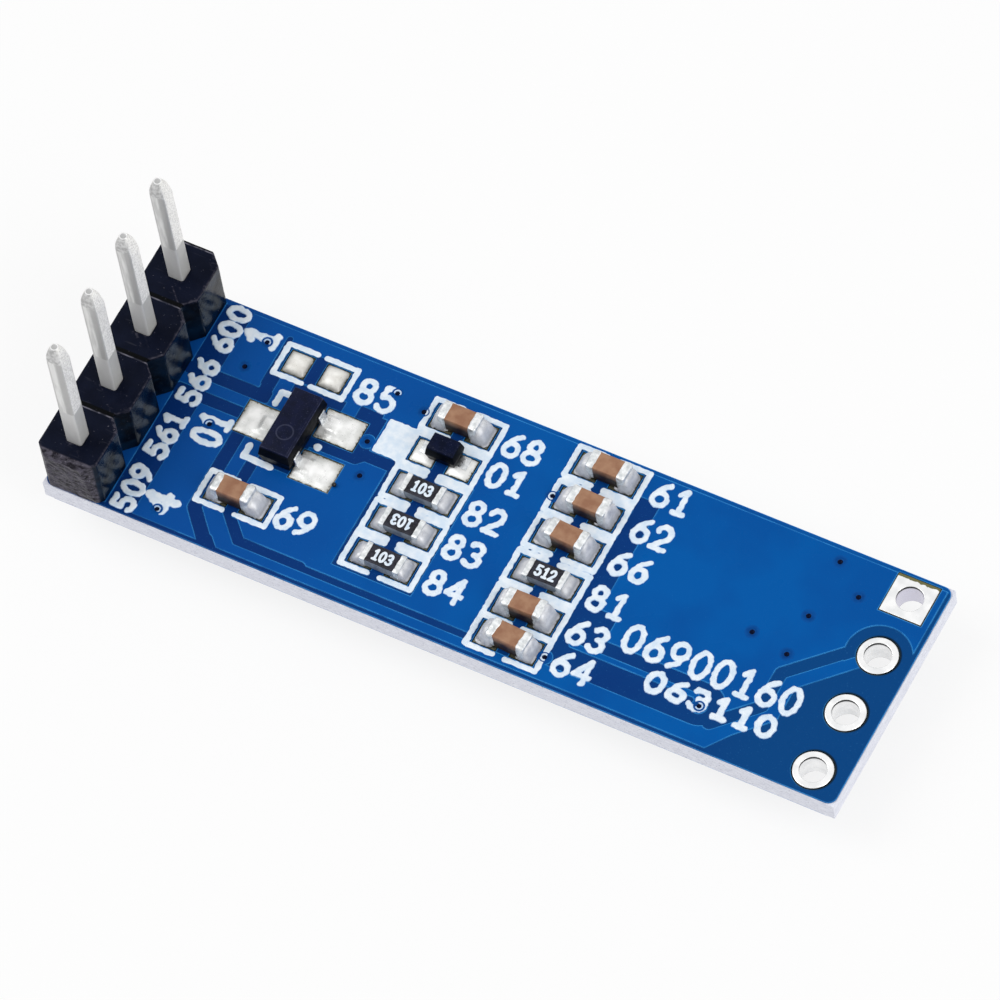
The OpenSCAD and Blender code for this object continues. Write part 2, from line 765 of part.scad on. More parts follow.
// Solder that fills each header hole and climbs the pin's tail in a hollow cone
module header_solder() {
    r0 = header_bore_d / 2;
    foot = header_ring_d / 2 - 0.06;
    neck = pin_w * 0.72;
    steps = 6;
    cone = [
        for (s = [0 : steps])
            [neck + (foot - neck) * pow(1 - s / steps, 2), z_board - cone_h * s / steps]
    ];
    color("#C4C7CA")
        for (i = [0 : pin_count - 1])
            difference() {
                translate([header_x, row_y(i), 0])
                    rotate_extrude()
                        polygon(concat(
                            [[0, z_mask_top], [r0, z_mask_top], [r0, z_board]], cone,
                            [[0, z_board - cone_h]]
                        ));
                translate([header_x - pin_w / 2, row_y(i) - pin_w / 2, z_board - pin_below - over])
                    cube([pin_w, pin_w, pin_below + board_t + 2 * over]);
            }
}

// ---- Chip parts ----

module capacitor_body(i) {
    color("#9A7056")
        place(capacitor_at[i - 1], capacitor_rest[i - 1]) translate([0, 0, z_chip + end_t])
            cut_block(chip_l - 2 * end_t, chip_w - 2 * end_t, capacitor_h - 2 * end_t, 0.05);
}

module chip_ends(h, cut) {
    difference() {
        cut_block(chip_l, chip_w, h, cut);
        translate([0, 0, end_t])
            cut_block(chip_l - 2 * end_t, chip_w - 2 * end_t, h - 2 * end_t, max(cut - 0.02, 0.01));
        cube([chip_l - 2 * end_l, 2 * chip_w, 3 * h], center = true);
    }
}

module capacitor_ends(i) {
    color("#C9CCD0")
        place(capacitor_at[i - 1], capacitor_rest[i - 1]) translate([0, 0, z_chip])
            chip_ends(capacitor_h, 0.07);
}

module resistor_slab() {
    translate([0, 0, end_t])
        cut_block(chip_l - 2 * end_t, chip_w - 2 * end_t, resistor_h - 2 * end_t, 0.01);
}

module resistor_body(i) {
    color("#8C8F96")
        place(resistor_at[i - 1], resistor_rest[i - 1]) translate([0, 0, z_chip]) resistor_slab();
}

module resistor_coat(i) {
    color("#26242E")
        place(resistor_at[i - 1], resistor_rest[i - 1])
            translate([0, 0, z_chip + resistor_h - end_t])
                linear_extrude(coat_t)
                    square([chip_l - 2 * end_l, chip_w - 2 * end_t - 0.02], center = true);
}

module resistor_ends(i) {
    color("#C9CCD0")
        place(resistor_at[i - 1], resistor_rest[i - 1]) translate([0, 0, z_chip])
            chip_ends(resistor_h, 0.03);
}

// Solder of one chip: a film on each land and a hollow slope up each end
module chip_solder(rest, h, climb) {
    out = land_span / 2 + land_l / 2 - 0.02;
    inner = chip_l / 2 - end_l;
    reach = out - chip_l / 2;
    steps = 5;
    slope = [
        for (s = [0 : steps])
            [chip_l / 2 + reach * pow(1 - s / steps, 1.7), film_t + climb * s / steps]
    ];
    difference() {
        union() {
            for (side = [-1, 1])
                mirror([side < 0 ? 1 : 0, 0, 0])
                    intersection() {
                        rotate([90, 0, 0])
                            linear_extrude(2 * land_w, center = true)
                                polygon(concat([[inner, 0], [out, 0]], slope, [[inner, film_t + climb]]));
                        rotate([90, 0, 90])
                            linear_extrude(2 * out)
                                polygon([
                                    [-land_w / 2 + 0.01, 0], [land_w / 2 - 0.01, 0],
                                    [land_w / 2 - 0.01, film_t], [chip_w / 2, film_t + climb],
                                    [-chip_w / 2, film_t + climb], [-land_w / 2 + 0.01, film_t]
                                ]);
                    }
        }
        place([0, 0], rest) translate([-chip_l / 2, -chip_w / 2, film_t]) cube([chip_l, chip_w, 2 * h]);
    }
}

module capacitor_solder() {
    color("#BFC3C8")
        for (i = [0 : len(capacitor_at) - 1])
            place(capacitor_at[i]) translate([0, 0, z_land])
                chip_solder(capacitor_rest[i], capacitor_h, capacitor_h * 0.86);
}

module resistor_solder() {
    color("#BFC3C8")
        for (i = [0 : len(resistor_at) - 1])
            place(resistor_at[i]) translate([0, 0, z_land])
                chip_solder(resistor_rest[i], resistor_h, resistor_h * 0.86);
}

// ---- Transistor and diode ----

// Side view of a lead: out of the body, down and out to its foot
module gull_lead(inner, reach, body_h, w) {
    mid = body_h / 2;
    shoulder = inner + 0.16;
    t = lead_t;
    rotate([90, 0, 0])
        linear_extrude(w, center = true)
            polygon([
                [inner, mid - t / 2], [shoulder - t, mid - t / 2], [shoulder - t * 0.4, 0],
                [reach, 0], [reach, t], [shoulder + t * 0.6, t],
                [shoulder, mid + t / 2], [inner, mid + t / 2]
            ]);
}

module transistor_body() {
    color("#171A24")
        translate([transistor_x, transistor_y, z_chip + 0.04])
            difference() {
                moulded_block(transistor_w, transistor_l, transistor_h);
                // Bevel along one long edge of the top
                translate([transistor_w / 2 - draft, 0, transistor_h]) rotate([0, 45, 0])
                    cube([0.09, 2 * transistor_l, 0.09], center = true);
            }
}

module transistor_leads() {
    inner = transistor_w / 2 - lead_t * draft / transistor_h;
    color("#D4D6D8")
        translate([transistor_x, transistor_y, z_chip]) {
            for (side = [-1, 1])
                translate([0, side * transistor_lead_span / 2, 0])
                    lead_outside(transistor_w, transistor_l, transistor_h, 0.04)
                        gull_lead(inner - 0.1, transistor_reach / 2, transistor_h + 0.08, lead_w);
            rotate([0, 0, 180])
                lead_outside(transistor_w, transistor_l, transistor_h, 0.04)
                    gull_lead(inner - 0.1, transistor_reach / 2, transistor_h + 0.08, lead_w);
        }
}

// Keeps only the part of a lead that is outside its moulded body
module lead_outside(w, l, h, lift) {
    difference() {
        children();
        translate([0, 0, lift]) moulded_block(w, 2 * l, h);
    }
}

module land_film(l, w, h) {
    cut = h * 0.8;
    intersection() {
        rotate([90, 0, 0]) linear_extrude(w, center = true)
            polygon([[-l / 2, 0], [l / 2, 0], [l / 2 - cut, h], [-l / 2 + cut, h]]);
        rotate([90, 0, 90]) linear_extrude(l, center = true)
            polygon([[-w / 2, 0], [w / 2, 0], [w / 2 - cut, h], [-w / 2 + cut, h]]);
    }
}

// Solder on the transistor's lands, up to the leads' feet, and one small ball beside a land
module transistor_solder() {
    swell = 0.07;
    ball_r = 0.09;
    color("#D8DADC")
        difference() {
            translate([transistor_x, transistor_y, z_land]) {
                translate([base_land[0], base_land[1], 0])
                    land_film(base_land[2] - 0.02, base_land[3] - 0.02, film_t + swell);
                for (side = [-1, 1])
                    translate([side_land_x, side * transistor_lead_span / 2, 0])
                        land_film(side_land_l - 0.02, side_land_w - 0.02, film_t + swell);
                translate([2.3, -1.22, mask_over_copper + ball_r * 0.9]) sphere(r = ball_r);
            }
            translate([transistor_x, transistor_y, z_chip]) {
                for (side = [-1, 1])
                    translate([transistor_w / 2 - 0.1, side * transistor_lead_span / 2 - lead_w / 2, 0])
                        cube([transistor_reach / 2 - transistor_w / 2 + 0.1, lead_w, 1]);
                translate([-transistor_reach / 2, -lead_w / 2, 0])
                    cube([transistor_reach / 2 - transistor_w / 2 + 0.1, lead_w, 1]);
                translate([0, 0, 0.04]) moulded_block(transistor_w, transistor_l, transistor_h);
            }
            translate([0, 0, z_mask_top - 1]) linear_extrude(1)
                translate([transistor_x + 2.3, transistor_y - 1.22]) square(0.3, center = true);
        }
}

module diode_body() {
    color("#14161E")
        translate([diode_at[0], diode_at[1] + diode_shift, z_chip + 0.02])
            moulded_block(diode_l, diode_w, diode_h);
}

module diode_leads() {
    color("#D4D6D8")
        translate([diode_at[0], diode_at[1] + diode_shift, z_chip])
            for (side = [0, 180])
                rotate([0, 0, side])
                    lead_outside(diode_l, diode_w, diode_h, 0.02)
                        translate([diode_l / 2 - 0.1, -diode_lead_w / 2, 0])
                            cube([diode_reach / 2 - diode_l / 2 + 0.1, diode_lead_w, lead_t]);
}

module diode_solder() {
    swell = 0.1;
    color("#D8DADC")
        difference() {
            translate([diode_at[0], diode_at[1], z_land])
                for (side = [-1, 1])
                    translate([side * land_span / 2, 0, 0])
                        land_film(land_l - 0.02, land_w - 0.02, film_t + swell);
            translate([diode_at[0], diode_at[1] + diode_shift, z_chip]) {
                cube([diode_reach, diode_lead_w, 2], center = true);
                translate([0, 0, 0.02]) moulded_block(diode_l, diode_w, diode_h);
            }
        }
}

// Tinned lands with no chip on them: each is a low pillow of solder
module spare_land_solder() {
    color("#D2D4D6")
        for (side = [-1, 1])
            translate([spare_at[0] + side * land_span / 2, spare_at[1], z_land])
                pillow(land_l - 0.02, land_w - 0.02, 0.16);
}

// A low dome over a rectangle: shrinking outlines whose height follows a quarter ellipse
module pillow(l, w, h) {
    steps = 5;
    for (s = [0 : steps - 1]) {
        a = 1 - pow(s / steps, 2);
        shrink = 0.5 * h * (1 - sqrt(a)) * 3;
        translate([0, 0, h * s / steps])
            linear_extrude(h / steps) square([l - 2 * shrink, w - 2 * shrink], center = true);
    }
}

// ---- Display panel ----

module panel_glass() {
    color("#2A2D33")
        translate([panel_start, -glass_w / 2, z_glass]) cube([glass_l, glass_w, glass_t]);
}

module panel_cover_glass() {
    color("#33363D")
        translate([cover_x, 0, z_cover]) linear_extrude(glass_t) square([cover_l, glass_w], center = true);
}

module panel_polariser() {
    color("#15171C")
        translate([cover_x, 0, 0])
            linear_extrude(polariser_t)
                square([cover_l - 2 * polariser_inset, glass_w - 2 * polariser_inset], center = true);
}

module panel_tape() {
    color("#E9E9E4")
        translate([cover_x, 0, z_tape])
            linear_extrude(tape_t)
                square([cover_l - 2 * tape_inset, glass_w - 2 * tape_inset], center = true);
}

driver_x = panel_end - ledge_l / 2 - 0.35;

module driver_chip() {
    color("#3A3D45")
        translate([driver_x, 0, z_cover]) linear_extrude(driver_h) square([driver_w, driver_l], center = true);
}

// Clear resin over the printed leads of the ledge, round the driver chip
module driver_resin() {
    start = panel_end - ledge_l;
    color("#8FA3A8")
        translate([0, 0, z_cover])
            linear_extrude(resin_t)
                difference() {
                    translate([start, -glass_w / 2 + 0.2])
                        square([ledge_l - tail_bond_l, glass_w - 0.4]);
                    translate([driver_x, 0]) square([driver_w, driver_l], center = true);
                }
}

// Side view of the tail: bonded to the ledge, folded back and laid on the board
module flex_tail() {
    r = tail_fold_r;
    fold_x = panel_end + 0.02;
    color("#B5813A")
        translate([0, 0, tail_bond_z])
            union() {
                translate([fold_x - 0.02 - tail_bond_l, -tail_w / 2, 0])
                    cube([tail_bond_l + 0.02, tail_w, tail_t]);
                translate([fold_x, tail_w / 2, r]) rotate([90, 0, 0]) rotate([0, 0, -90])
                    linear_extrude(tail_w)
                        difference() {
                            intersection() {
                                circle(r = r);
                                translate([-r - 1, 0]) square([2 * r + 2, r + 1]);
                            }
                            circle(r = r - tail_t);
                        }
                translate([panel_end - tail_run_l, -tail_w / 2, 2 * r - tail_t])
                    cube([fold_x - panel_end + tail_run_l, tail_w, tail_t]);
            }
}

module flex_solder() {
    color("#C4C7CA")
        translate([0, 0, tail_top_z])
            linear_extrude(tail_film + mask_over_copper) tail_lands();
}

laminate_core();
copper_rear();
copper_front();
mask_rear();
mask_front();
print_rear();
header_plating();
end_plating();
vias();
header_housing();
header_pin(1);  // header_pin_1
header_pin(2);  // header_pin_2
header_pin(3);  // header_pin_3
header_pin(4);  // header_pin_4
header_solder();
capacitor_body(1);  // capacitor_1_body
capacitor_ends(1);  // capacitor_1_ends
capacitor_body(2);  // capacitor_2_body
capacitor_ends(2);  // capacitor_2_ends
capacitor_body(3);  // capacitor_3_body
capacitor_ends(3);  // capacitor_3_ends
capacitor_body(4);  // capacitor_4_body
capacitor_ends(4);  // capacitor_4_ends
capacitor_body(5);  // capacitor_5_body
capacitor_ends(5);  // capacitor_5_ends
capacitor_body(6);  // capacitor_6_body
capacitor_ends(6);  // capacitor_6_ends
capacitor_body(7);  // capacitor_7_body
capacitor_ends(7);  // capacitor_7_ends
resistor_body(1);  // resistor_1_body
resistor_coat(1);  // resistor_1_coat
resistor_ends(1);  // resistor_1_ends
resistor_body(2);  // resistor_2_body
resistor_coat(2);  // resistor_2_coat
resistor_ends(2);  // resistor_2_ends
resistor_body(3);  // resistor_3_body
resistor_coat(3);  // resistor_3_coat
resistor_ends(3);  // resistor_3_ends
resistor_body(4);  // resistor_4_body
resistor_coat(4);  // resistor_4_coat
resistor_ends(4);  // resistor_4_ends
transistor_body();
transistor_leads();
diode_body();
diode_leads();
capacitor_solder();
resistor_solder();
transistor_solder();
diode_solder();
spare_land_solder();
panel_glass();
panel_cover_glass();
panel_polariser();
driver_chip();
driver_resin();
flex_tail();
flex_solder();
panel_tape();
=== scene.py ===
"""Dresses the small OLED module: finishes for its CAD solids, and finer pieces where they need them.

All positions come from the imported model, in metres. MM turns a size in millimetres into metres.
"""
import logging
import math
from dataclasses import dataclass, field, replace
from enum import Enum
from functools import reduce
from itertools import product
from typing import Any, Callable, Iterable, Sequence

import bmesh
import bpy
import numpy as np
from mathutils import Matrix, Vector, noise


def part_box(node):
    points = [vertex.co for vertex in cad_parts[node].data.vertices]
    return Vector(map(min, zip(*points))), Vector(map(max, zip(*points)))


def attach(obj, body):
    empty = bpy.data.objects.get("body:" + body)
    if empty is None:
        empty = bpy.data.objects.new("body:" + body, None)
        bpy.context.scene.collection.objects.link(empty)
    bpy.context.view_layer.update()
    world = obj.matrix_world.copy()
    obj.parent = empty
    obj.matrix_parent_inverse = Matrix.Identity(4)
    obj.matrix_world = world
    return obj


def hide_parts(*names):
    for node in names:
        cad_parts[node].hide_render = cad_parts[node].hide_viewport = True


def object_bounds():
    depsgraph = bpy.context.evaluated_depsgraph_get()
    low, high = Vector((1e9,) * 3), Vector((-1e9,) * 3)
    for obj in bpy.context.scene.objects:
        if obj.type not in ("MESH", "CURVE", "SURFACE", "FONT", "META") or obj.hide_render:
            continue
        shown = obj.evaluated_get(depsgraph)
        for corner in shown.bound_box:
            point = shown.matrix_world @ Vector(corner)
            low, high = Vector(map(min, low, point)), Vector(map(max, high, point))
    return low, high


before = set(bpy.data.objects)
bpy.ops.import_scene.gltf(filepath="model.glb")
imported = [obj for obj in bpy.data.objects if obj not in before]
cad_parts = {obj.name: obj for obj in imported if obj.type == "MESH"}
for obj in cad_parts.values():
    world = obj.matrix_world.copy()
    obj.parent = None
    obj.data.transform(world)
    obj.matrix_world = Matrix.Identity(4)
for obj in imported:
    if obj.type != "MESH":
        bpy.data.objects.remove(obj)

CAD_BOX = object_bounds()
MM = 0.001
# Corners of a CAD mesh that lie closer than this are one corner
WELD = 1e-7
# Edges that bend more than this are hard
HARD = math.radians(20)
BEVEL_SAMPLES = 6
LOG = logging.getLogger("module")
Point = tuple[float, float]
Triple = tuple[float, float, float]
Box = tuple[Vector, Vector]
Shape = tuple[list, list]
Depth = Callable[[np.ndarray, np.ndarray], np.ndarray]
Socket = bpy.types.NodeSocket


def linear(code: str) -> tuple[float, float, float, float]:
    """Turns an sRGB hex colour into linear values.

    Args:
        code: Six hex digits after a hash.

    Returns:
        Linear red, green, blue and an alpha of one.
    """
    parts = [int(code[i:i + 2], 16) / 255 for i in (1, 3, 5)]
    red, green, blue = (v / 12.92 if v <= 0.04045 else ((v + 0.055) / 1.055) ** 2.4 for v in parts)
    return (red, green, blue, 1.0)


# ---------------------------------------------------------------------------------------------
# Finishes
# ---------------------------------------------------------------------------------------------


@dataclass(frozen=True)
class Graph:
    """A node tree, with the masks that several finishes share."""

    tree: bpy.types.NodeTree

    @classmethod
    def of(cls, owner: bpy.types.ID) -> "Graph":
        """Wraps the emptied node tree of a material or world.

        Args:
            owner: The material or world.

        Returns:
            Its graph.
        """
        owner.use_nodes = True
        owner.node_tree.nodes.clear()
        return cls(owner.node_tree)

    def add(self, kind: str, *values: Any, out: str = "", named: dict[str, Any] | None = None,
            **settings: Any) -> Any:
        """Adds a shader node with its settings and links.

        Args:
            kind: Node type without its "ShaderNode" start.
            values: What its open inputs take in their order: a socket to link, a hex colour, a
                plain value, or None to leave one as it is.
            out: Name of the wanted output, or nothing for the first open one.
            named: The same as values, by the names of the inputs.
            settings: Properties of the node.

        Returns:
            The output's socket, or None at a node without outputs.
        """
        node = self.tree.nodes.new(f"ShaderNode{kind}")
        for key, value in settings.items():
            setattr(node, key, value)
        pairs = [*zip([s for s in node.inputs if s.enabled], values)]
        pairs += [(node.inputs[key], value) for key, value in (named or {}).items()]
        for socket, value in pairs:
            if isinstance(value, Socket):
                self.tree.links.new(value, socket)
            elif value is not None:
                socket.default_value = linear(value) if isinstance(value, str) else value
        return node.outputs[out] if out else next((s for s in node.outputs if s.enabled), None)

    def place(self) -> tuple[Socket, ...]:
        """Gives the x, y and z of the shaded point in metres."""
        return tuple(self.add("SeparateXYZ", self.add("TexCoord", out="Object")).node.outputs)

    def facing(self) -> tuple[Socket, ...]:
        """Gives the x, y and z of the surface's direction."""
        return tuple(self.add("SeparateXYZ", self.add("NewGeometry", out="True Normal")).node.outputs)

    def flat(self) -> Socket:
        """Gives the shaded point's place on the board, as a vector without height."""
        return self.add("VectorMath", self.add("TexCoord", out="Object"), (1, 1, 0), operation="MULTIPLY")

    def grain(self, size_mm: float, detail: float = 3.0, stretch: Triple = (1.0, 1.0, 1.0)) -> Socket:
        """Gives a noise of a real grain size, about 0.3 to 0.7."""
        shaped = self.add("Mapping", self.add("TexCoord", out="Object"), None, None, stretch)
        return self.add("TexNoise", shaped, 1 / (size_mm * MM), detail)

    def cloud(self, size_mm: float, low: float, high: float, to_low: float = 0.0, to_high: float = 1.0,
              detail: float = 3.0, stretch: Triple = (1.0, 1.0, 1.0)) -> Socket:
        """Gives a mask of patches with a real size.

        Args:
            size_mm: Size of one patch in millimetres.
            low: Noise at which a patch starts.
            high: Noise at which it is full.
            to_low: Value between the patches.
            to_high: Value of a full patch.
            detail: Octaves of finer noise.
            stretch: Scale of the noise along each axis, a low one draws the patches out.

        Returns:
            The mask's socket.
        """
        return self.add("MapRange", self.grain(size_mm, detail, stretch), low, high, to_low, to_high)

    def edge(self, radius_mm: float) -> Socket:
        """Gives a mask of the strips beside edges.

        Args:
            radius_mm: Width of a strip.

        Returns:
            Socket that is one on an edge and zero on a flat.
        """
        soft = self.add("Bevel", radius_mm * MM, samples=BEVEL_SAMPLES)
        true = self.add("NewGeometry", out="True Normal")
        # Cosine of the bend: a flat is above 0.995, and a full edge is below 0.8
        return self.add("MapRange", self.add("VectorMath", soft, true, operation="DOT_PRODUCT"), 0.995, 0.8)

    def off(self, value: Socket, middle: float) -> Socket:
        """Gives how far a value is from a middle one."""
        return self.add("Math", self.add("Math", value, middle, operation="SUBTRACT"), operation="ABSOLUTE")

    def line(self, value: Socket, middle: float, full_mm: float, end_mm: float,
             strength: float = 1.0) -> Socket:
        """Gives a mask along a line.

        Args:
            value: Place or distance that the line depends on.
            middle: Value in the line's middle, in metres.
            full_mm: Half the width over which the line is full.
            end_mm: Half the width at which it ends.
            strength: Value of the full line.

        Returns:
            The mask's socket.
        """
        return self.add("MapRange", self.off(value, middle), full_mm * MM, end_mm * MM, strength, 0.0)

    def product(self, *masks: Socket) -> Socket:
        """Gives the product of all the masks."""
        return reduce(lambda a, b: self.add("Math", a, b, operation="MULTIPLY"), masks)

    def coats(self, skin: Any, *coats: tuple[Any, Any]) -> Socket:
        """Lays coats over a skin, one after the other.

        Args:
            skin: Colour under the coats, a hex code or a socket.
            coats: Mask and colour of each coat.

        Returns:
            Socket with the final colour.
        """
        for mask, colour in coats:
            skin = self.add("Mix", mask, skin, colour, data_type="RGBA")
        return skin

    def seen(self) -> Socket:
        """Gives a mask that is one for straight views, mirrored views and views through glass."""
        rays = self.add("LightPath").node.outputs
        direct = self.add("Math", rays["Is Camera Ray"], rays["Is Glossy Ray"], operation="MAXIMUM")
        return self.add("Math", direct, rays["Is Transmission Ray"], operation="MAXIMUM")


@dataclass(frozen=True)
class Finish:
    """A surface whose colour drifts between two tones in patches, with a fine grain in relief."""

    name: str
    colour: str
    drift: str
    patch_mm: float = 0.5
    roughness: float = 0.5
    rough_swing: float = 0.1
    metallic: float = 0.0
    ior: float = 1.5
    grain_mm: float = 0.05
    grain_depth_mm: float = 0.003
    edge_mm: float = 0.0
    specular: float = 0.5
    clarity: float = 0.0

    def patches(self, g: Graph) -> Socket:
        """Gives the mask of the second tone."""
        return g.cloud(self.patch_mm, 0.36, 0.64)

    def paint(self, g: Graph) -> Socket:
        """Gives the surface's colour."""
        return g.coats(self.colour, (self.patches(g), self.drift))

    def gloss(self, g: Graph) -> Socket:
        """Gives the surface's roughness, which swings in patches finer than the colour's."""
        half = self.rough_swing / 2
        return g.cloud(self.patch_mm * 0.6, 0.35, 0.65, self.roughness - half, self.roughness + half)

    def relief(self, g: Graph) -> Socket:
        """Gives the surface's direction after its grain and its soft edges."""
        soft = g.add("Bevel", self.edge_mm * MM, samples=BEVEL_SAMPLES) if self.edge_mm > 0 else None
        return g.add("Bump", 1.0, self.grain_depth_mm * MM, None, g.grain(self.grain_mm, 4.0), soft)

    def shade(self, g: Graph) -> Socket:
        """Builds the surface shader.

        Args:
            g: Graph of the material.

        Returns:
            The shader's socket.
        """
        settings = {"Metallic": self.metallic, "Transmission Weight": self.clarity}
        # A metal takes its shine from its colour alone
        if self.metallic < 0.5:
            settings |= {"IOR": self.ior, "Specular IOR Level": self.specular}
        return g.add("BsdfPrincipled", named=settings | {
            "Base Color": self.paint(g), "Roughness": self.gloss(g), "Normal": self.relief(g)})

    def material(self) -> bpy.types.Material:
        """Makes the Blender material, once for each finish."""
        made = bpy.data.materials.get(f"finish_{self.name}")
        if made is None:
            made = bpy.data.materials.new(f"finish_{self.name}")
            g = Graph.of(made)
            g.add("OutputMaterial", self.shade(g))
        return made


@dataclass(frozen=True)
class SolderMask(Finish):
    """Epoxy solder mask, printed and cured glossy: bright blue over foil, navy over laminate.

    The film is see-through, so the foil under it lightens it. Each foil edge carries a painted highlight,
    a thin pale blue line where the film bends, and painted shade darkens the film toward the header.
    """

    bare: str = "#063677"
    line: str = "#3F9BE0"
    step_z: float = 0.0
    far_y: float = 1.0
    rings: tuple[Triple, ...] = ()

    def paint(self, g: Graph) -> Socket:
        """Colours the film by its height, and paints highlights along the foil's edges.

        Args:
            g: Graph of the material.

        Returns:
            The colour's socket.
        """
        along, across, height = g.place()
        # Painted light: light that enters the far edge of the laminate brightens the bare strip there, so
        # it takes the foil's bright colour
        strip = g.add("MapRange", across, self.far_y - 0.24 * MM, self.far_y - 0.2 * MM, 0.0, 0.85)
        raised = g.add("MapRange", height, self.step_z - 0.012 * MM, self.step_z - 0.004 * MM)
        foil_or_lit_strip = g.add("Math", raised, strip, operation="MAXIMUM")
        patches = g.cloud(self.patch_mm, 0.4, 0.6)
        # Painted shade: the film is darker toward the header
        shade_toward_header = g.add("MapRange", along, -0.016, 0.004, 1.0, 0.0)
        bright = g.coats(self.colour, (patches, self.drift), (shade_toward_header, "#0B4A97"))
        deep = g.coats(self.bare, (patches, "#073C7C"), (shade_toward_header, "#082E6C"),
                       (g.add("MapRange", along, 0.009, 0.0125), "#07437F"))
        # Painted highlight along each foil edge, stronger away from the header
        painted_edge_highlight = g.product(g.edge(0.06), g.cloud(0.9, 0.42, 0.58, 0.6, 1.3),
                         g.add("MapRange", along, -0.016, 0.002, 0.4, 1.3))
        # Dust and pinholes in the cured film, about 0.03 mm, drawn at 0.05 mm so that they show
        dust = g.cloud(0.05, 0.72, 0.78, 0.0, 0.35, detail=1.0)
        film = g.coats(deep, (foil_or_lit_strip, bright), (dust, "#3F86C2"), (painted_edge_highlight, self.line))
        # Flux burnt a dark ring round each open hole, widest on the far side
        for x, y, radius in self.rings:
            reach = g.add("VectorMath", g.flat(), (x + 0.02 * MM, y + 0.015 * MM, 0), operation="DISTANCE")
            burnt = g.add("MapRange", reach, radius + 0.05 * MM, radius + 0.1 * MM, 0.92, 0.0)
            film = g.coats(film, (burnt, "#0B1418"))
        return film


@dataclass(frozen=True)
class Laminate(Finish):
    """Woven glass and epoxy board, cut by a router: pale grey edges with fibre ends.

    In the mask's openings its upper face is stained dark olive by flux from soldering, made darker
    still as painted shade round the parts.
    """

    inner_x: float = 0.0
    inner_y: float = 0.0
    corner: float = 0.00035

    def paint(self, g: Graph) -> Socket:
        """Pale layered edges, and dark faces inside the openings.

        Args:
            g: Graph of the material.

        Returns:
            The colour's socket.
        """
        # Glass layers are about 0.1 mm thick and long, so the grain is flat
        layers = g.cloud(0.12, 0.35, 0.65, detail=4.0, stretch=(0.35, 0.35, 2.2))
        fibres = g.cloud(0.05, 0.6, 0.72, 0.0, 0.6, detail=2.0)
        pale = g.coats(self.colour, (layers, self.drift), (fibres, "#9A9CAC"))
        # Flux stain in the openings, darkened further as painted shade
        dark = g.coats("#14160F", (g.cloud(0.12, 0.4, 0.6), "#4A4A2C"))
        # The mask has round corners, and beyond them the board is clean
        straight = (self.inner_x - self.corner, self.inner_y - self.corner, 0)
        past = g.flat()
        for operation, other in (("ABSOLUTE", None), ("SUBTRACT", straight), ("MAXIMUM", (0, 0, 0)),
                                 ("LENGTH", None)):
            past = g.add("VectorMath", past, other, operation=operation)
        return g.coats(dark, (g.add("MapRange", past, self.corner, self.corner + 0.01 * MM), pale))


@dataclass(frozen=True)
class PinMetal(Finish):
    """Tin-plated brass wire, drawn and cut: silver, one side banded with painted reflections, the other
    frosted.

    The pressed tip is mottled, and the lowest third is painted an even grey, a painted reflection of
    the dark housing.
    """

    dull_z: float = 0.0
    tip_z: float = 1.0
    line_x: float = 0.0

    def paint(self, g: Graph) -> Socket:
        """Silver with painted reflection bands, frost, a mottled tip and a painted grey foot.

        Args:
            g: Graph of the material.

        Returns:
            The colour's socket.
        """
        x, _, z = g.place()
        _, across, up = g.facing()
        near = g.add("MapRange", across, -0.3, -0.6)
        from_line = g.add("Math", x, self.line_x, operation="SUBTRACT")
        # Painted reflection: grey bands down the near side, beside a bright middle
        painted_reflection_bands = g.add("Math", g.add("MapRange", from_line, 0.0, 0.1 * MM),
                      g.line(from_line, -0.24 * MM, 0.015, 0.04, 0.6), operation="MAXIMUM")
        streaks = g.cloud(0.12, 0.38, 0.62, detail=2.0, stretch=(1.0, 1.0, 0.12))
        tip = g.coats("#A9A9A9", (g.cloud(0.13, 0.38, 0.62), "#D0D0D0"))
        pressed = g.add("MapRange", z, self.tip_z - 0.72 * MM, self.tip_z - 0.66 * MM)
        banded = g.coats(self.colour, (streaks, self.drift), (painted_reflection_bands, "#B0B0B0"), (pressed, tip))
        frosted = g.coats("#FDFCF9", (g.cloud(0.06, 0.38, 0.62), "#D9D8D5"))
        dished = g.product(g.add("MapRange", up, 0.7, 0.9),
                           g.add("MapRange", z, self.tip_z - 0.05 * MM, self.tip_z - 0.03 * MM))
        cut_rim = g.add("MapRange", z, self.tip_z - 0.012 * MM, self.tip_z - 0.004 * MM)
        # Painted reflection: the lowest part is an even grey, as if mirroring the dark housing, lighter on
        # the near side
        foot = g.coats("#BDBDBB", (near, "#CBCBCB"))
        low = g.add("MapRange", z, self.dull_z, self.dull_z + 0.08 * MM, 1.0, 0.0)
        return g.coats(frosted, (near, banded), (dished, "#B2B2B2"), (cut_rim, "#F0F0F0"), (low, foot))


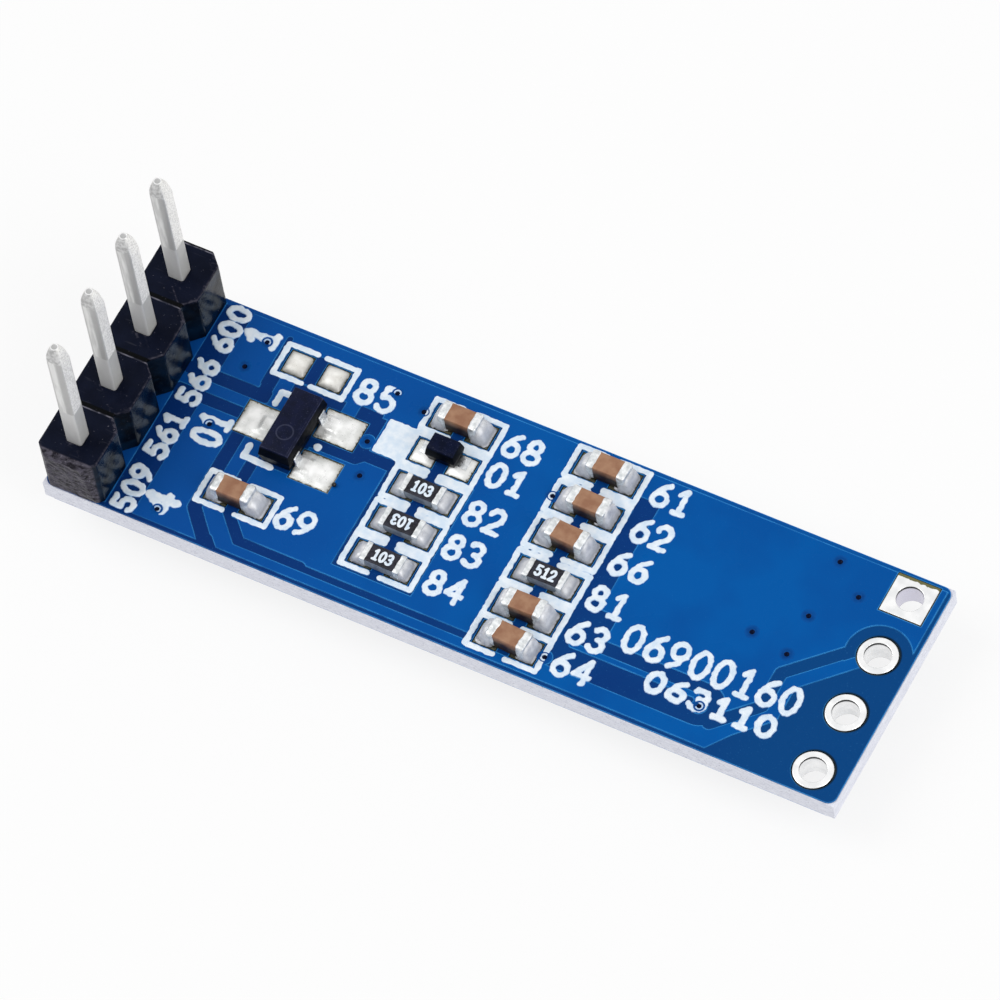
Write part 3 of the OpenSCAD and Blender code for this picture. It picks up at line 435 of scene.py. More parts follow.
@dataclass(frozen=True)
class MouldedHousing(Finish):
    """Glass-filled nylon, injection moulded: near black, satin, with worn grey edges that also serve as
    painted highlights.

    Fine scratches and pale dust specks lie on it, and its broken end is rough and greyer. Its sides
    carry a painted reflection of the board, and each groove painted shade and a painted highlight.
    """

    snap_y: float = 0.0
    head_z: float = 0.0
    block: float = 1.0

    def paint(self, g: Graph) -> Socket:
        """Near black with scratches, specks, worn edges, painted highlights, shade and reflections, and a
        grey broken end.

        Args:
            g: Graph of the material.

        Returns:
            The colour's socket.
        """
        _, y, z = g.place()
        on_top = g.add("MapRange", z, self.head_z - 0.16 * MM, self.head_z - 0.1 * MM)
        scratches = g.cloud(0.12, 0.66, 0.74, 0.0, 0.08, detail=2.0, stretch=(0.15, 1.0, 1.0))
        # Painted reflection: the sides mirror the blue board in blurred patches
        sides = g.coats("#02060F", (g.cloud(0.9, 0.38, 0.66, detail=1.0), "#061B30"),
                        (g.cloud(0.3, 0.56, 0.7, 0.0, 0.18), "#1C3850"))
        body = g.coats(sides, (on_top, g.coats(super().paint(g), (scratches, "#6E6F7C"))))
        # Worn edges on top, painted lighter, which also serves as painted highlight
        worn = g.add("MapRange", g.add("NewGeometry", out="Pointiness"), 0.515, 0.56)
        wear_and_edge_highlight = g.product(worn, g.cloud(0.15, 0.4, 0.62, 0.08, 0.6), on_top)
        # Grooves run across between the blocks, each with painted shade in the groove and a painted
        # highlight on its near lip
        in_block = g.add("Math", y, self.block / 2, -self.block / 2, operation="WRAP")
        glint = g.cloud(0.3, 0.42, 0.6, 0.15, 0.9)
        painted_groove_highlight = g.product(g.line(in_block, -0.1 * MM, 0.015, 0.04), glint, on_top)
        painted_groove_shade = g.product(g.line(in_block, 0.01 * MM, 0.07, 0.1), on_top)
        dust = g.cloud(0.07, 0.75, 0.8, 0.0, 0.5, detail=1.0)
        torn = g.cloud(0.16, 0.36, 0.62, detail=4.0, stretch=(0.7, 1.0, 1.3))
        rough_end = g.coats("#1B1920", (torn, "#524F5A"),
                            (g.cloud(0.05, 0.68, 0.74, 0.0, 0.6, detail=1.0), "#A3A1A8"))
        snapped = g.add("MapRange", y, self.snap_y, self.snap_y + 0.06 * MM, 1.0, 0.0)
        return g.coats(body, (wear_and_edge_highlight, "#5C5A66"), (painted_groove_highlight, "#6F6E7A"), (painted_groove_shade, "#000103"), (dust, "#8D8C98"),
                       (snapped, rough_end))


@dataclass(frozen=True)
class MouldedResin(Finish):
    """Filled epoxy, transfer moulded: blue-black and finely specked, with painted highlights on its edges.

    A faint ejector ring is pressed into the top, round a mark that lies far off where there is
    none. The sides are glossy and painted darker, as painted shade.
    """

    mark: Point = (1.0, 1.0)
    head_z: float = 0.0

    def paint(self, g: Graph) -> Socket:
        """Blue-black with specks, painted edge highlights, painted shade on the sides and the ring.

        Args:
            g: Graph of the material.

        Returns:
            The colour's socket.
        """
        specks = g.cloud(0.05, 0.66, 0.74, 0.0, 0.3, detail=1.0)
        away = g.add("VectorMath", g.flat(), (*self.mark, 0), operation="DISTANCE")
        ring = g.line(away, 0.31 * MM, 0.015, 0.04, 0.17)
        body = g.coats(super().paint(g), (specks, "#565A72"), (ring, "#6A6E88"))
        top = g.add("MapRange", g.place()[2], self.head_z - 0.12 * MM, self.head_z - 0.05 * MM)
        # Painted highlight along the top's edges
        wear_and_edge_highlight = g.product(g.edge(0.05), g.cloud(0.2, 0.38, 0.6, 0.15, 0.7), top)
        # Below the top the sides are painted near black, as painted shade
        return g.coats("#02040A", (top, body), (wear_and_edge_highlight, "#5D6180"))


@dataclass(frozen=True)
class Solder(Finish):
    """Reflowed tin solder, frozen with a frosted skin, painted greyer low down as shade, and ringed by
    brown flux at its foot.
    """

    foot_z: float = 0.0
    stain_mm: float = 0.03
    stain: str = "#3A3420"
    skirt_mm: float = 0.15
    skirt: str = "#A6A7AB"

    def paint(self, g: Graph) -> Socket:
        """Mottled silver, with painted shade greyer low down, and a ragged dark line of flux at the foot.

        Args:
            g: Graph of the material.

        Returns:
            The colour's socket.
        """
        z = g.place()[2]
        skirt = self.skirt_mm * MM
        # Painted shade: greyer low down on the skirt
        painted_low_shade = g.add("MapRange", z, self.foot_z + 0.25 * skirt, self.foot_z + skirt, 0.8, 0.0)
        pits = g.product(g.cloud(0.05, 0.62, 0.7, 0.0, 0.4, detail=2.0), self.patches(g))
        stain = self.stain_mm * MM
        ragged = g.add("Math", z, g.cloud(0.09, 0.3, 0.7, -0.6 * stain, 0.9 * stain), operation="ADD")
        low = g.add("MapRange", ragged, self.foot_z, self.foot_z + stain, 1.0, 0.0)
        return g.coats(super().paint(g), (painted_low_shade, self.skirt), (pits, "#77766F"), (low, self.stain))


@dataclass(frozen=True)
class PooledMask(Finish):
    """Solder mask that pooled round a via: deeper blue as it swells, with painted shade nearly black in the
    throat.
    """

    top_z: float = 0.0

    def paint(self, g: Graph) -> Socket:
        """Darkens with the swell's height, and with painted shade in the throat by its depth.

        Args:
            g: Graph of the material.

        Returns:
            The colour's socket.
        """
        z = g.place()[2]
        swell = g.add("MapRange", z, self.top_z, self.top_z + 0.007 * MM)
        # Painted shade in the throat
        throat = g.add("MapRange", z, self.top_z + 0.001 * MM, self.top_z - 0.012 * MM)
        return g.coats(self.colour, (swell, self.drift), (g.product(swell, self.patches(g)), "#053C7E"),
                       (throat, "#020926"))


@dataclass(frozen=True)
class ScreenInk(Finish):
    """White epoxy ink, screen printed: solid in the middle, thin and bluish at its ragged rim."""

    top_z: float = 0.0

    def paint(self, g: Graph) -> Socket:
        """White, with the mask showing through where the ink thins out."""
        thin = g.add("MapRange", g.place()[2], self.top_z - 0.012 * MM, self.top_z - 0.006 * MM, 0.65, 0.0)
        return g.coats(super().paint(g), (thin, "#7FABDA"))


@dataclass(frozen=True)
class ChipCeramic(Finish):
    """Fired barium ceramic, sawn and tumbled: tan on top, with painted shade dark toward its foot."""

    foot_z: float = 0.0
    head_z: float = 1.0
    foot: str = "#1B0F0A"

    def paint(self, g: Graph) -> Socket:
        """Tan, with painted shade rising dark up the sides.

        Args:
            g: Graph of the material.

        Returns:
            The colour's socket.
        """
        # Painted shade: the sides darken toward the foot, under a ragged border
        ragged = g.add("Math", g.place()[2], g.cloud(0.3, 0.3, 0.7, -0.05 * MM, 0.05 * MM), operation="ADD")
        stain = g.add("MapRange", ragged, self.foot_z, self.head_z, 1.0, 0.0)
        return g.coats(super().paint(g), (stain, self.foot))


@dataclass(frozen=True)
class TinnedHole(Finish):
    """Hot tin on a plated hole: mirror-bright ring, pale wall, and a line of painted shade under the rim.
    """

    rim_z: float = 0.0
    strip_y: float = 1.0

    def paint(self, g: Graph) -> Socket:
        """Bright ring and wall with a painted shade line between them, and an untinned strip of the square
        land.

        Args:
            g: Graph of the material.

        Returns:
            The colour's socket.
        """
        _, y, z = g.place()
        ragged = g.add("Math", y, g.cloud(0.25, 0.35, 0.65, -0.03 * MM, 0.03 * MM), operation="ADD")
        strip = g.add("MapRange", ragged, self.strip_y, self.strip_y + 0.015 * MM)
        wall = g.add("MapRange", g.add("Math", g.facing()[2], operation="ABSOLUTE"), 0.6, 0.3)
        # The wall of the square land's hole is greyer
        grey = g.add("MapRange", y, self.strip_y - 1.7 * MM, self.strip_y - 1.65 * MM)
        # Painted shade: a dark line on the wall just under the rim
        line = g.add("MapRange", z, self.rim_z - 0.13 * MM, self.rim_z - 0.09 * MM)
        return g.coats(super().paint(g), (strip, "#6E6C47"), (g.product(grey, wall), "#D6D4E2"),
                       (g.product(line, wall), "#1C1E20"))


@dataclass(frozen=True)
class DisplayFilm(Finish):
    """Polarising film over the pixels: glossy and dark, with a black border round the lit area."""

    middle: Point = (0.0, 0.0)
    half: Point = (1.0, 1.0)

    def paint(self, g: Graph) -> Socket:
        """Dark violet over the pixels, black round them."""
        border = [g.add("MapRange", g.off(value, middle), half, half + 0.03 * MM)
                  for value, middle, half in zip(g.place(), self.middle, self.half)]
        return g.coats(super().paint(g), (g.add("Math", *border, operation="MAXIMUM"), "#030304"))


@dataclass(frozen=True)
class ClearSheet(Finish):
    """Clear glass or resin, which shows what is behind it."""

    clarity: float = 1.0


# ---------------------------------------------------------------------------------------------
# Shapes
# ---------------------------------------------------------------------------------------------


def ripple(x: float, y: float, z: float, size_mm: float, seed: float = 0.0) -> float:
    """Smooth noise between about -1 and 1 with a real grain size."""
    scale = 1 / (size_mm * MM)
    return noise.noise(Vector((x * scale + seed, y * scale - seed, z * scale + 2 * seed)))


def wander(x: np.ndarray, y: np.ndarray, depths: np.ndarray, reach: float, *grains: Triple) -> np.ndarray:
    """Gives how far a ragged outline wanders, as a sum of noises.

    Args:
        x: Places along the board.
        y: Places across the board.
        depths: Depth inside the clean outline there.
        reach: Depth to both sides of the outline at which the noise stops.
        grains: Share, size in millimetres and seed of each noise.

    Returns:
        The sum of the noises at the places, and zero out of reach.
    """
    near = np.abs(depths) < reach
    total = np.zeros(x.shape)
    for part, size_mm, seed in grains:
        total[near] += [part * ripple(a, b, 0.0, size_mm, seed) for a, b in zip(x[near], y[near])]
    return total


def share(value: float) -> float:
    """Keeps a value between zero and one."""
    return min(max(value, 0.0), 1.0)


def direction(azimuth_deg: float, elevation_deg: float) -> Vector:
    """Gives the way to a point seen at these angles, the azimuth from the near side."""
    turn, lift = math.radians(azimuth_deg), math.radians(elevation_deg)
    return Vector((math.sin(turn) * math.cos(lift), -math.cos(turn) * math.cos(lift), math.sin(lift)))


def put(name: str, data: bpy.types.ID) -> bpy.types.Object:
    """Makes an object and puts it into the scene.

    Args:
        name: Name of the object.
        data: Its mesh, lamp or camera.

    Returns:
        The object.
    """
    made = bpy.data.objects.new(name, data)
    bpy.context.scene.collection.objects.link(made)
    return made


def centre(box: Box) -> Point:
    """Gives the middle of a box on the board."""
    return (box[0].x + box[1].x) / 2, (box[0].y + box[1].y) / 2


def adopt(name: str, shape: Any, finish: Finish, slot: str, *nodes: str,
          smooth_deg: float = 40.0) -> bpy.types.Object:
    """Turns a shape into a piece that rides on the module.

    Args:
        name: Name of the piece.
        shape: A mesh, a bmesh that is used up, or corners in metres with faces as corner numbers.
        finish: Its surface.
        slot: Material slot of the record; not used.
        nodes: CAD nodes that it stands for.
        smooth_deg: Edges flatter than this are shaded smooth.

    Returns:
        The new object.
    """
    mesh = shape if isinstance(shape, bpy.types.Mesh) else bpy.data.meshes.new(name)
    if isinstance(shape, tuple):
        mesh.from_pydata([tuple(v) for v in shape[0]], [], [tuple(f) for f in shape[1]])
    elif isinstance(shape, bmesh.types.BMesh):
        shape.to_mesh(mesh)
        shape.free()
    mesh.update()
    mesh.materials.clear()
    mesh.materials.append(finish.material())
    mesh.polygons.foreach_set("use_smooth", [True] * len(mesh.polygons))
    mesh.set_sharp_from_angle(angle=math.radians(smooth_deg))
    piece = put(name, mesh)
    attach(piece, "root")
    if nodes:
        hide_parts(*nodes)
    LOG.info("%s: %d faces", name, len(mesh.polygons))
    return piece


def dress(node: str, finish: Finish) -> None:
    """Gives a CAD node that stays its finish."""
    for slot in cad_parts[node].material_slots:
        slot.material = finish.material()
    LOG.info("%s: %s", node, finish.name)


def welded(node: str) -> bmesh.types.BMesh:
    """Copies a CAD node's mesh with its corners joined.

    Args:
        node: Name of the CAD node.

    Returns:
        A bmesh, which the caller frees.
    """
    shape = bmesh.new()
    shape.from_mesh(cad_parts[node].data)
    bmesh.ops.remove_doubles(shape, verts=shape.verts, dist=WELD)
    return shape


def whole(node: str) -> bmesh.types.BMesh:
    """Copies a CAD node's mesh with its flat faces whole.

    Args:
        node: Name of the CAD node.

    Returns:
        A bmesh, which the caller frees.
    """
    shape = welded(node)
    bmesh.ops.dissolve_limit(shape, angle_limit=math.radians(1), verts=shape.verts, edges=shape.edges)
    return shape


def groups(items: Iterable, touching: Callable[[Any], Iterable]) -> list[list]:
    """Sorts corners or faces into groups that hang together.

    Args:
        items: The corners or faces.
        touching: Gives those beside one of them, others than the items too.

    Returns:
        The groups, in the order of their first items.
    """
    left = dict.fromkeys(items)
    found = []
    while left:
        stack, group = [next(iter(left))], []
        del left[stack[0]]
        while stack:
            group.append(stack.pop())
            for other in touching(group[-1]):
                if other in left:
                    del left[other]
                    stack.append(other)
        found.append(group)
    return found


def islands(node: str) -> list[Box]:
    """Finds the boxes of a CAD node's separate solids.

    Args:
        node: Name of the CAD node.

    Returns:
        Lowest and highest corner of each solid.
    """
    shape = welded(node)
    boxes = [tuple(Vector([pick(v.co[k] for v in group) for k in range(3)]) for pick in (min, max))
             for group in groups(shape.verts, lambda v: [e.other_vert(v) for e in v.link_edges])]
    shape.free()
    return boxes


def softened(name: str, node: str, radius_mm: float, finish: Finish, slot: str, segments: int = 3) -> None:
    """Stands for a hard-edged CAD node with a copy whose edges are rounded.

    Args:
        name: Name of the piece.
        node: CAD node that it stands for.
        radius_mm: Radius of the edges.
        finish: Its surface.
        slot: Material slot of the record.
        segments: Faces across each rounded edge.
    """
    shape = whole(node)
    edges = [e for e in shape.edges if len(e.link_faces) == 2 and e.calc_face_angle(0.0) > HARD]
    bmesh.ops.bevel(shape, geom=edges, offset=radius_mm * MM, segments=segments, profile=0.5,
                    affect="EDGES", clamp_overlap=True)
    bmesh.ops.remove_doubles(shape, verts=shape.verts, dist=WELD / 10)
    adopt(name, shape, finish, slot, node)


@dataclass
class Relief:
    """Collects raised patches, each a closed solid with a shaped top over an outline.

    An outline is a function that is positive inside it and gives the depth from its edge.
    """

    step_mm: float
    verts: list[Triple] = field(default_factory=list)
    faces: list[list[int]] = field(default_factory=list)

    def add_patch(self, low: Point, high: Point, margin: float, depth: Depth,
                  top: Callable[[float, float, float], float], base: float) -> None:
        """Adds one patch.

        Args:
            low: Lowest x and y of the patch.
            high: Highest x and y of it.
            margin: How far past these the outline may wander.
            depth: Gives the depth inside the outline at arrays of x and y.
            top: Gives the height of the top at x, y and depth.
            base: Height of the flat underside.
        """
        step = self.step_mm * MM
        lines = []
        for k in (0, 1):
            first, last = low[k] - margin, high[k] + margin
            lines.append(first - step + step * np.arange(int((last - first) / step) + 3))
        xs, ys = lines
        depths = depth(*np.meshgrid(xs, ys, indexing="ij"))
        depths[[0, -1], :] = -step
        depths[:, [0, -1]] = -step
        inside = depths > 0
        number: dict[tuple, int] = {}
        flat: list[Triple] = []

        def corner(i: int, j: int) -> int:
            """Numbers a grid point that is inside."""
            if (i, j) not in number:
                number[i, j] = len(flat)
                flat.append((xs[i], ys[j], float(depths[i, j])))
            return number[i, j]

        def crossing(i: int, j: int, k: int, m: int) -> int:
            """Numbers the point where the outline crosses a grid edge."""
            key = (min(i, k), min(j, m), i == k)
            if key not in number:
                a, b = float(depths[i, j]), float(depths[k, m])
                # Kept off the edge's ends, so that no face is too thin
                t = min(max(a / (a - b), 0.08), 0.92)
                number[key] = len(flat)
                flat.append((xs[i] + t * (xs[k] - xs[i]), ys[j] + t * (ys[m] - ys[j]), 0.0))
            return number[key]

        loops: list[list[int]] = []
        busy = inside[:-1, :-1] | inside[1:, :-1] | inside[:-1, 1:] | inside[1:, 1:]
        for i, j in zip(*np.nonzero(busy)):
            ring = ((i, j), (i + 1, j), (i + 1, j + 1), (i, j + 1))
            loop: list[int] = []
            for here, after in zip(ring, ring[1:] + ring[:1]):
                if inside[here]:
                    loop.append(corner(*here))
                if inside[here] != inside[after]:
                    loop.append(crossing(*here, *after))
            loops.append(loop)
        rims: dict[tuple[int, int], None] = {}
        for loop in loops:
            for a, b in zip(loop, loop[1:] + loop[:1]):
                if (b, a) in rims:
                    del rims[b, a]
                else:
                    rims[a, b] = None
        start = len(self.verts)
        under = start + len(flat)
        self.verts += [(x, y, top(x, y, d)) for x, y, d in flat]
        self.verts += [(x, y, base) for x, y, _ in flat]
        for loop in loops:
            self.faces += [[start + v for v in loop], [under + v for v in reversed(loop)]]
        self.faces += [[start + b, start + a, under + a, under + b] for a, b in rims]

    def piece(self, name: str, finish: Finish, slot: str, *nodes: str) -> None:
        """Makes the piece from all its patches."""
        adopt(name, (self.verts, self.faces), finish, slot, *nodes, smooth_deg=65.0)


# How far past a land its ragged solder may wander
LAND_MARGIN = 0.05 * MM


def land_depth(box: Box, corner_mm: float, *grains: Triple) -> Depth:
    """Makes the depth function of solder on a land: a little wider than the land, and ragged.

    Args:
        box: Box of the land.
        corner_mm: Radius of its corners.
        grains: Share, size in millimetres and seed of each noise in the ragged edge.

    Returns:
        A function that is positive inside the solder.
    """
    low, high = box
    grow, ragged, corner = 0.012 * MM, 0.022 * MM, corner_mm * MM
    cx, cy = ((low.x - grow) + (high.x + grow)) / 2, ((low.y - grow) + (high.y + grow)) / 2
    hx = ((high.x + grow) - (low.x - grow)) / 2 - corner
    hy = ((high.y + grow) - (low.y - grow)) / 2 - corner

    def depth(x: np.ndarray, y: np.ndarray) -> np.ndarray:
        """Depth inside a rectangle with round corners, moved in and out by the noise."""
        u, v = np.abs(x - cx) - hx, np.abs(y - cy) - hy
        outside = np.hypot(np.maximum(u, 0), np.maximum(v, 0))
        clean = corner - outside - np.minimum(np.maximum(u, v), 0)
        return clean + wander(x, y, clean, math.inf, *grains) * ragged

    return depth


def from_line(x: np.ndarray, y: np.ndarray, start: Point, end: Point) -> np.ndarray:
    """Gives the distance of points from a line between two ends.

    Args:
        x: Places along the board.
        y: Places across the board.
        start: One end of the line.
        end: Its other end.

    Returns:
        The distances.
    """
    (ax, ay), (ux, uy) = start, (end[0] - start[0], end[1] - start[1])
    t = np.clip(((x - ax) * ux + (y - ay) * uy) / max(ux * ux + uy * uy, 1e-18), 0, 1)
    return np.hypot(x - ax - t * ux, y - ay - t * uy)


def top_outlines(node: str) -> list[np.ndarray]:
    """Finds the border of the top of each separate solid of a flat CAD node.

    Args:
        node: Name of the CAD node.

    Returns:
        For each solid its border lines, one row for each: x and y of both ends.
    """
    shape = whole(node)
    tops = [f for f in shape.faces if f.normal.z > 0.9]
    borders = []
    for group in groups(tops, lambda f: [other for e in f.edges for other in e.link_faces]):
        faces = set(group)
        borders.append(np.array([[*e.verts[0].co.xy, *e.verts[1].co.xy]
                                 for e in dict.fromkeys(e for f in group for e in f.edges)
                                 if sum(f in faces for f in e.link_faces) == 1]))
    shape.free()
    return borders


def border_depth(border: np.ndarray, x: np.ndarray, y: np.ndarray) -> np.ndarray:
    """Gives the depth of points inside an area.

    Args:
        border: Rows of x and y of both ends of each border line.
        x: Places along the board.
        y: Places across the board.

    Returns:
        Distances from the nearest line, positive after an odd number of crossings.
    """
    best = np.full(x.shape, 1.0)
    inside = np.zeros(x.shape, bool)
    for ax, ay, bx, by in border:
        best = np.minimum(best, from_line(x, y, (ax, ay), (bx, by)))
        if abs(by - ay) > 1e-12:
            inside ^= ((ay > y) != (by > y)) & (x < ax + (y - ay) * (bx - ax) / (by - ay))
    return np.where(inside, best, -best)


def soft_block(size: Vector, radius: float, cuts: tuple[int, int, int], place: Matrix,
               dent: Callable[[Vector], Vector]) -> Shape:
    """Builds a closed block with round edges from a grid, so that it can carry small dents.

    Args:
        size: Its full size along each axis, in metres.
        radius: Radius of its edges.
        cuts: Number of grid cells along each axis.
        place: Matrix that puts it in the module.
        dent: Moves a point of the block, given in the block's own frame.

    Returns:
        Corners in the module and faces.
    """
    half = size / 2
    number: dict[tuple[int, ...], int] = {}
    verts: list[Vector] = []
    faces: list[list[int]] = []

    def corner(key: tuple[int, ...]) -> int:
        """Numbers one grid point of the skin."""
        if key not in number:
            # Grid lines crowd toward the edges, where the skin bends
            point = Vector([math.sin((2 * c / n - 1) * math.pi / 2) * h
                            for c, n, h in zip(key, cuts, half)])
            inner = Vector([max(-h + radius, min(h - radius, p)) for p, h in zip(point, half)])
            out = point - inner
            if out.length > 1e-12:
                point = inner + out.normalized() * radius
            number[key] = len(verts)
            verts.append(place @ dent(point))
        return number[key]

    for axis, far in product(range(3), (False, True)):
        u, v = (axis + 1) % 3, (axis + 2) % 3
        for a, b in product(range(cuts[u]), range(cuts[v])):
            quad = []
            for da, db in ((0, 0), (1, 0), (1, 1), (0, 1)):
                key = {axis: far * cuts[axis], u: a + da, v: b + db}
                quad.append(corner((key[0], key[1], key[2])))
            faces.append(quad if far else quad[::-1])
    return verts, faces


@dataclass(frozen=True)
class ChipPlace:
    """Where a chip part lies: its middle, its turn and its size."""

    middle: Vector
    turn: float
    length: float
    width: float
    low: float
    high: float

    @classmethod
    def of(cls, node: str) -> "ChipPlace":
        """Reads the place from a CAD node whose ends face along the board.

        Args:
            node: Name of the CAD node.

        Returns:
            The place.
        """
        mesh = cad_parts[node].data
        end = max((f for f in mesh.polygons if f.normal.x > 0.9), key=lambda f: f.area)
        turn = math.atan2(end.normal.y, end.normal.x)
        low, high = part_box(node)
        middle = (low + high) / 2
        along = Vector((math.cos(turn), math.sin(turn), 0))
        spans = []
        for way in (along, Vector((-along.y, along.x, 0))):
            runs = [(v.co - middle).dot(way) for v in mesh.vertices]
            spans.append(max(runs) - min(runs))
        return cls(middle, turn, *spans, low.z, high.z)

    def matrix(self, shift: Vector) -> Matrix:
        """Matrix from the chip's own frame, with a shift in that frame."""
        turned = Matrix.Translation(self.middle) @ Matrix.Rotation(self.turn, 4, "Z")
        return turned @ Matrix.Translation(shift)

    def local(self, x: float, y: float) -> Point:
        """Turns a place on the board into the chip's own frame.

        Args:
            x: Place along the board.
            y: Place across the board.

        Returns:
            Place along and across the chip, from its middle.
        """
        dx, dy = x - self.middle.x, y - self.middle.y
        cos, sin = math.cos(self.turn), math.sin(self.turn)
        return dx * cos + dy * sin, dy * cos - dx * sin


# ---------------------------------------------------------------------------------------------
# Print
# ---------------------------------------------------------------------------------------------


VIAS = [centre(box) for box in islands("vias")]
WHITE_INK = ScreenInk("white_ink", "#EAF2FA", "#D3E3F3", patch_mm=0.35, roughness=0.55, grain_mm=0.06,
                      top_z=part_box("print_rear")[1].z)
PEN_MM = 0.24


def arc(cx: float, cy: float, rx: float, ry: float, start: float, end: float,
        parts: int = 10) -> list[Point]:
    """Points along part of an ellipse, angles in degrees."""
    angles = [math.radians(start + (end - start) * i / parts) for i in range(parts + 1)]
    return [(cx + rx * math.cos(a), cy + ry * math.sin(a)) for a in angles]


# Width of a numeral's cell and of the gap after it; the cell is 1 high
CELL, GAP = 0.6, 0.3
# Pen strokes of each plain numeral that is printed
NUMERALS: dict[str, list[list[Point]]] = {
    "0": [arc(0.3, 0.5, 0.3, 0.5, 90, 450, 20)],
    "1": [[(0.12, 0.8), (0.34, 1.0), (0.34, 0.0)], [(0.12, 0.0), (0.56, 0.0)]],
    "2": [arc(0.3, 0.7, 0.28, 0.3, 170, -30) + [(0.02, 0.0), (0.6, 0.0)]],
    "3": [arc(0.28, 0.75, 0.27, 0.25, 150, -90), arc(0.28, 0.26, 0.31, 0.26, 90, -150)],
    "4": [[(0.46, 0.0), (0.46, 1.0), (0.0, 0.32), (0.62, 0.32)]],
    "5": [[(0.56, 1.0), (0.1, 1.0), (0.06, 0.55)] + arc(0.28, 0.31, 0.31, 0.31, 120, -150)],
    "6": [[(0.5, 0.97), (0.24, 0.78), (0.04, 0.42)] + arc(0.31, 0.29, 0.29, 0.29, 150, -210, 16)],
    "8": [arc(0.3, 0.76, 0.24, 0.24, 0, 360, 16), arc(0.3, 0.27, 0.3, 0.27, 0, 360, 16)],
    "9": [[(0.1, 0.03), (0.36, 0.22), (0.56, 0.58)] + arc(0.29, 0.71, 0.29, 0.29, -30, 330, 16)],
}


def leave_vias(x: np.ndarray, y: np.ndarray, depths: np.ndarray) -> np.ndarray:
    """Opens printed ink over the vias: it stays as a thin ring on each via's rim.

    Args:
        x: Places along the board.
        y: Places across the board.
        depths: Depth inside the ink there.

    Returns:
        The depths after the ink has sunk into the vias.
    """
    for via_x, via_y in VIAS:
        away = np.hypot(x - via_x, y - via_y)
        ring = 0.035 * MM - np.abs(away - 0.125 * MM)
        depths = np.minimum(depths, np.maximum(away - 0.205 * MM, ring))
    return depths


def ink_crown(base: float, top: float, pen: float) -> Callable[[float, float, float], float]:
    """Makes the top of printed ink, which swells up within a short way from its edge.

    Args:
        base: Height of the ink's underside.
        top: Height of its top.
        pen: Width of the printed line.

    Returns:
        A function that gives the height at x, y and depth.
    """
    def crown(x: float, y: float, d: float) -> float:
        """Height of the ink."""
        return top - (top - base) * 0.45 * (1 - share(d / (0.22 * pen))) ** 2

    return crown


class Reading(Enum):
    """Which way a line of numerals runs on the board, in degrees."""

    ALONG = 0.0
    UPWARD = 90.0
    BACKWARD = 180.0


@dataclass(frozen=True)
class Numerals:
    """A line of plain numerals, printed with a round pen that wanders a little."""

    digits: str
    middle: Point
    width_mm: float
    height_mm: float
    pen_mm: float = PEN_MM
    reading: Reading = Reading.ALONG
    lean: float = 0.0
    ragged_mm: float = 0.045

    def strokes(self) -> list[list[Point]]:
        """Gives the pen strokes on the board, in metres."""
        span = len(self.digits) * (CELL + GAP) - GAP
        width, height = (self.width_mm - self.pen_mm) * MM, (self.height_mm - self.pen_mm) * MM
        turn = math.radians(self.reading.value + self.lean)
        cos, sin = math.cos(turn), math.sin(turn)
        lines = []
        for n, digit in enumerate(self.digits):
            for stroke in NUMERALS[digit]:
                spots = [(((n * (CELL + GAP) + x) / span - 0.5) * width, (y - 0.5) * height)
                         for x, y in stroke]
                lines.append([(self.middle[0] + u * cos - v * sin, self.middle[1] + u * sin + v * cos)
                              for u, v in spots])
        return lines

    def print_on(self, relief: Relief, base: float, top: float) -> None:
        """Adds the numerals to a relief as rounded ink.

        Args:
            relief: Relief that gets the patch.
            base: Height of the ink's underside.
            top: Height of its top.
        """
        lines = self.strokes()
        seed = self.middle[0] * 997 + self.middle[1] * 331
        pen = self.pen_mm * MM

        def depth(x: np.ndarray, y: np.ndarray) -> np.ndarray:
            """Depth inside the nearest stroke."""
            best = np.full(x.shape, 1.0)
            for line in lines:
                for start, end in zip(line, line[1:]):
                    best = np.minimum(best, from_line(x, y, start, end))
            depths = pen / 2 - best
            rough = wander(x, y, depths, pen / 2, (1.0, 0.16, seed))
            return leave_vias(x, y, depths + rough * self.ragged_mm * MM)

        points = np.concatenate(lines)
        low, high = points.min(axis=0), points.max(axis=0)
        relief.add_patch(low, high, pen, depth, ink_crown(base, top, pen), base)


def printed(name: str, base: float, top: float, rows: Sequence[Numerals], step_mm: float = 0.032) -> None:
    """Prints lines of numerals as one piece.

    Args:
        name: Name of the piece.
        base: Height of the ink's underside.
        top: Height of its top.
        rows: The lines of numerals.
        step_mm: Size of the ink's faces.
    """
    relief = Relief(step_mm)
    for row in rows:
        row.print_on(relief, base, top)
    relief.piece(name, WHITE_INK, "white_print")


# ---------------------------------------------------------------------------------------------
# Sub-assemblies
# ---------------------------------------------------------------------------------------------


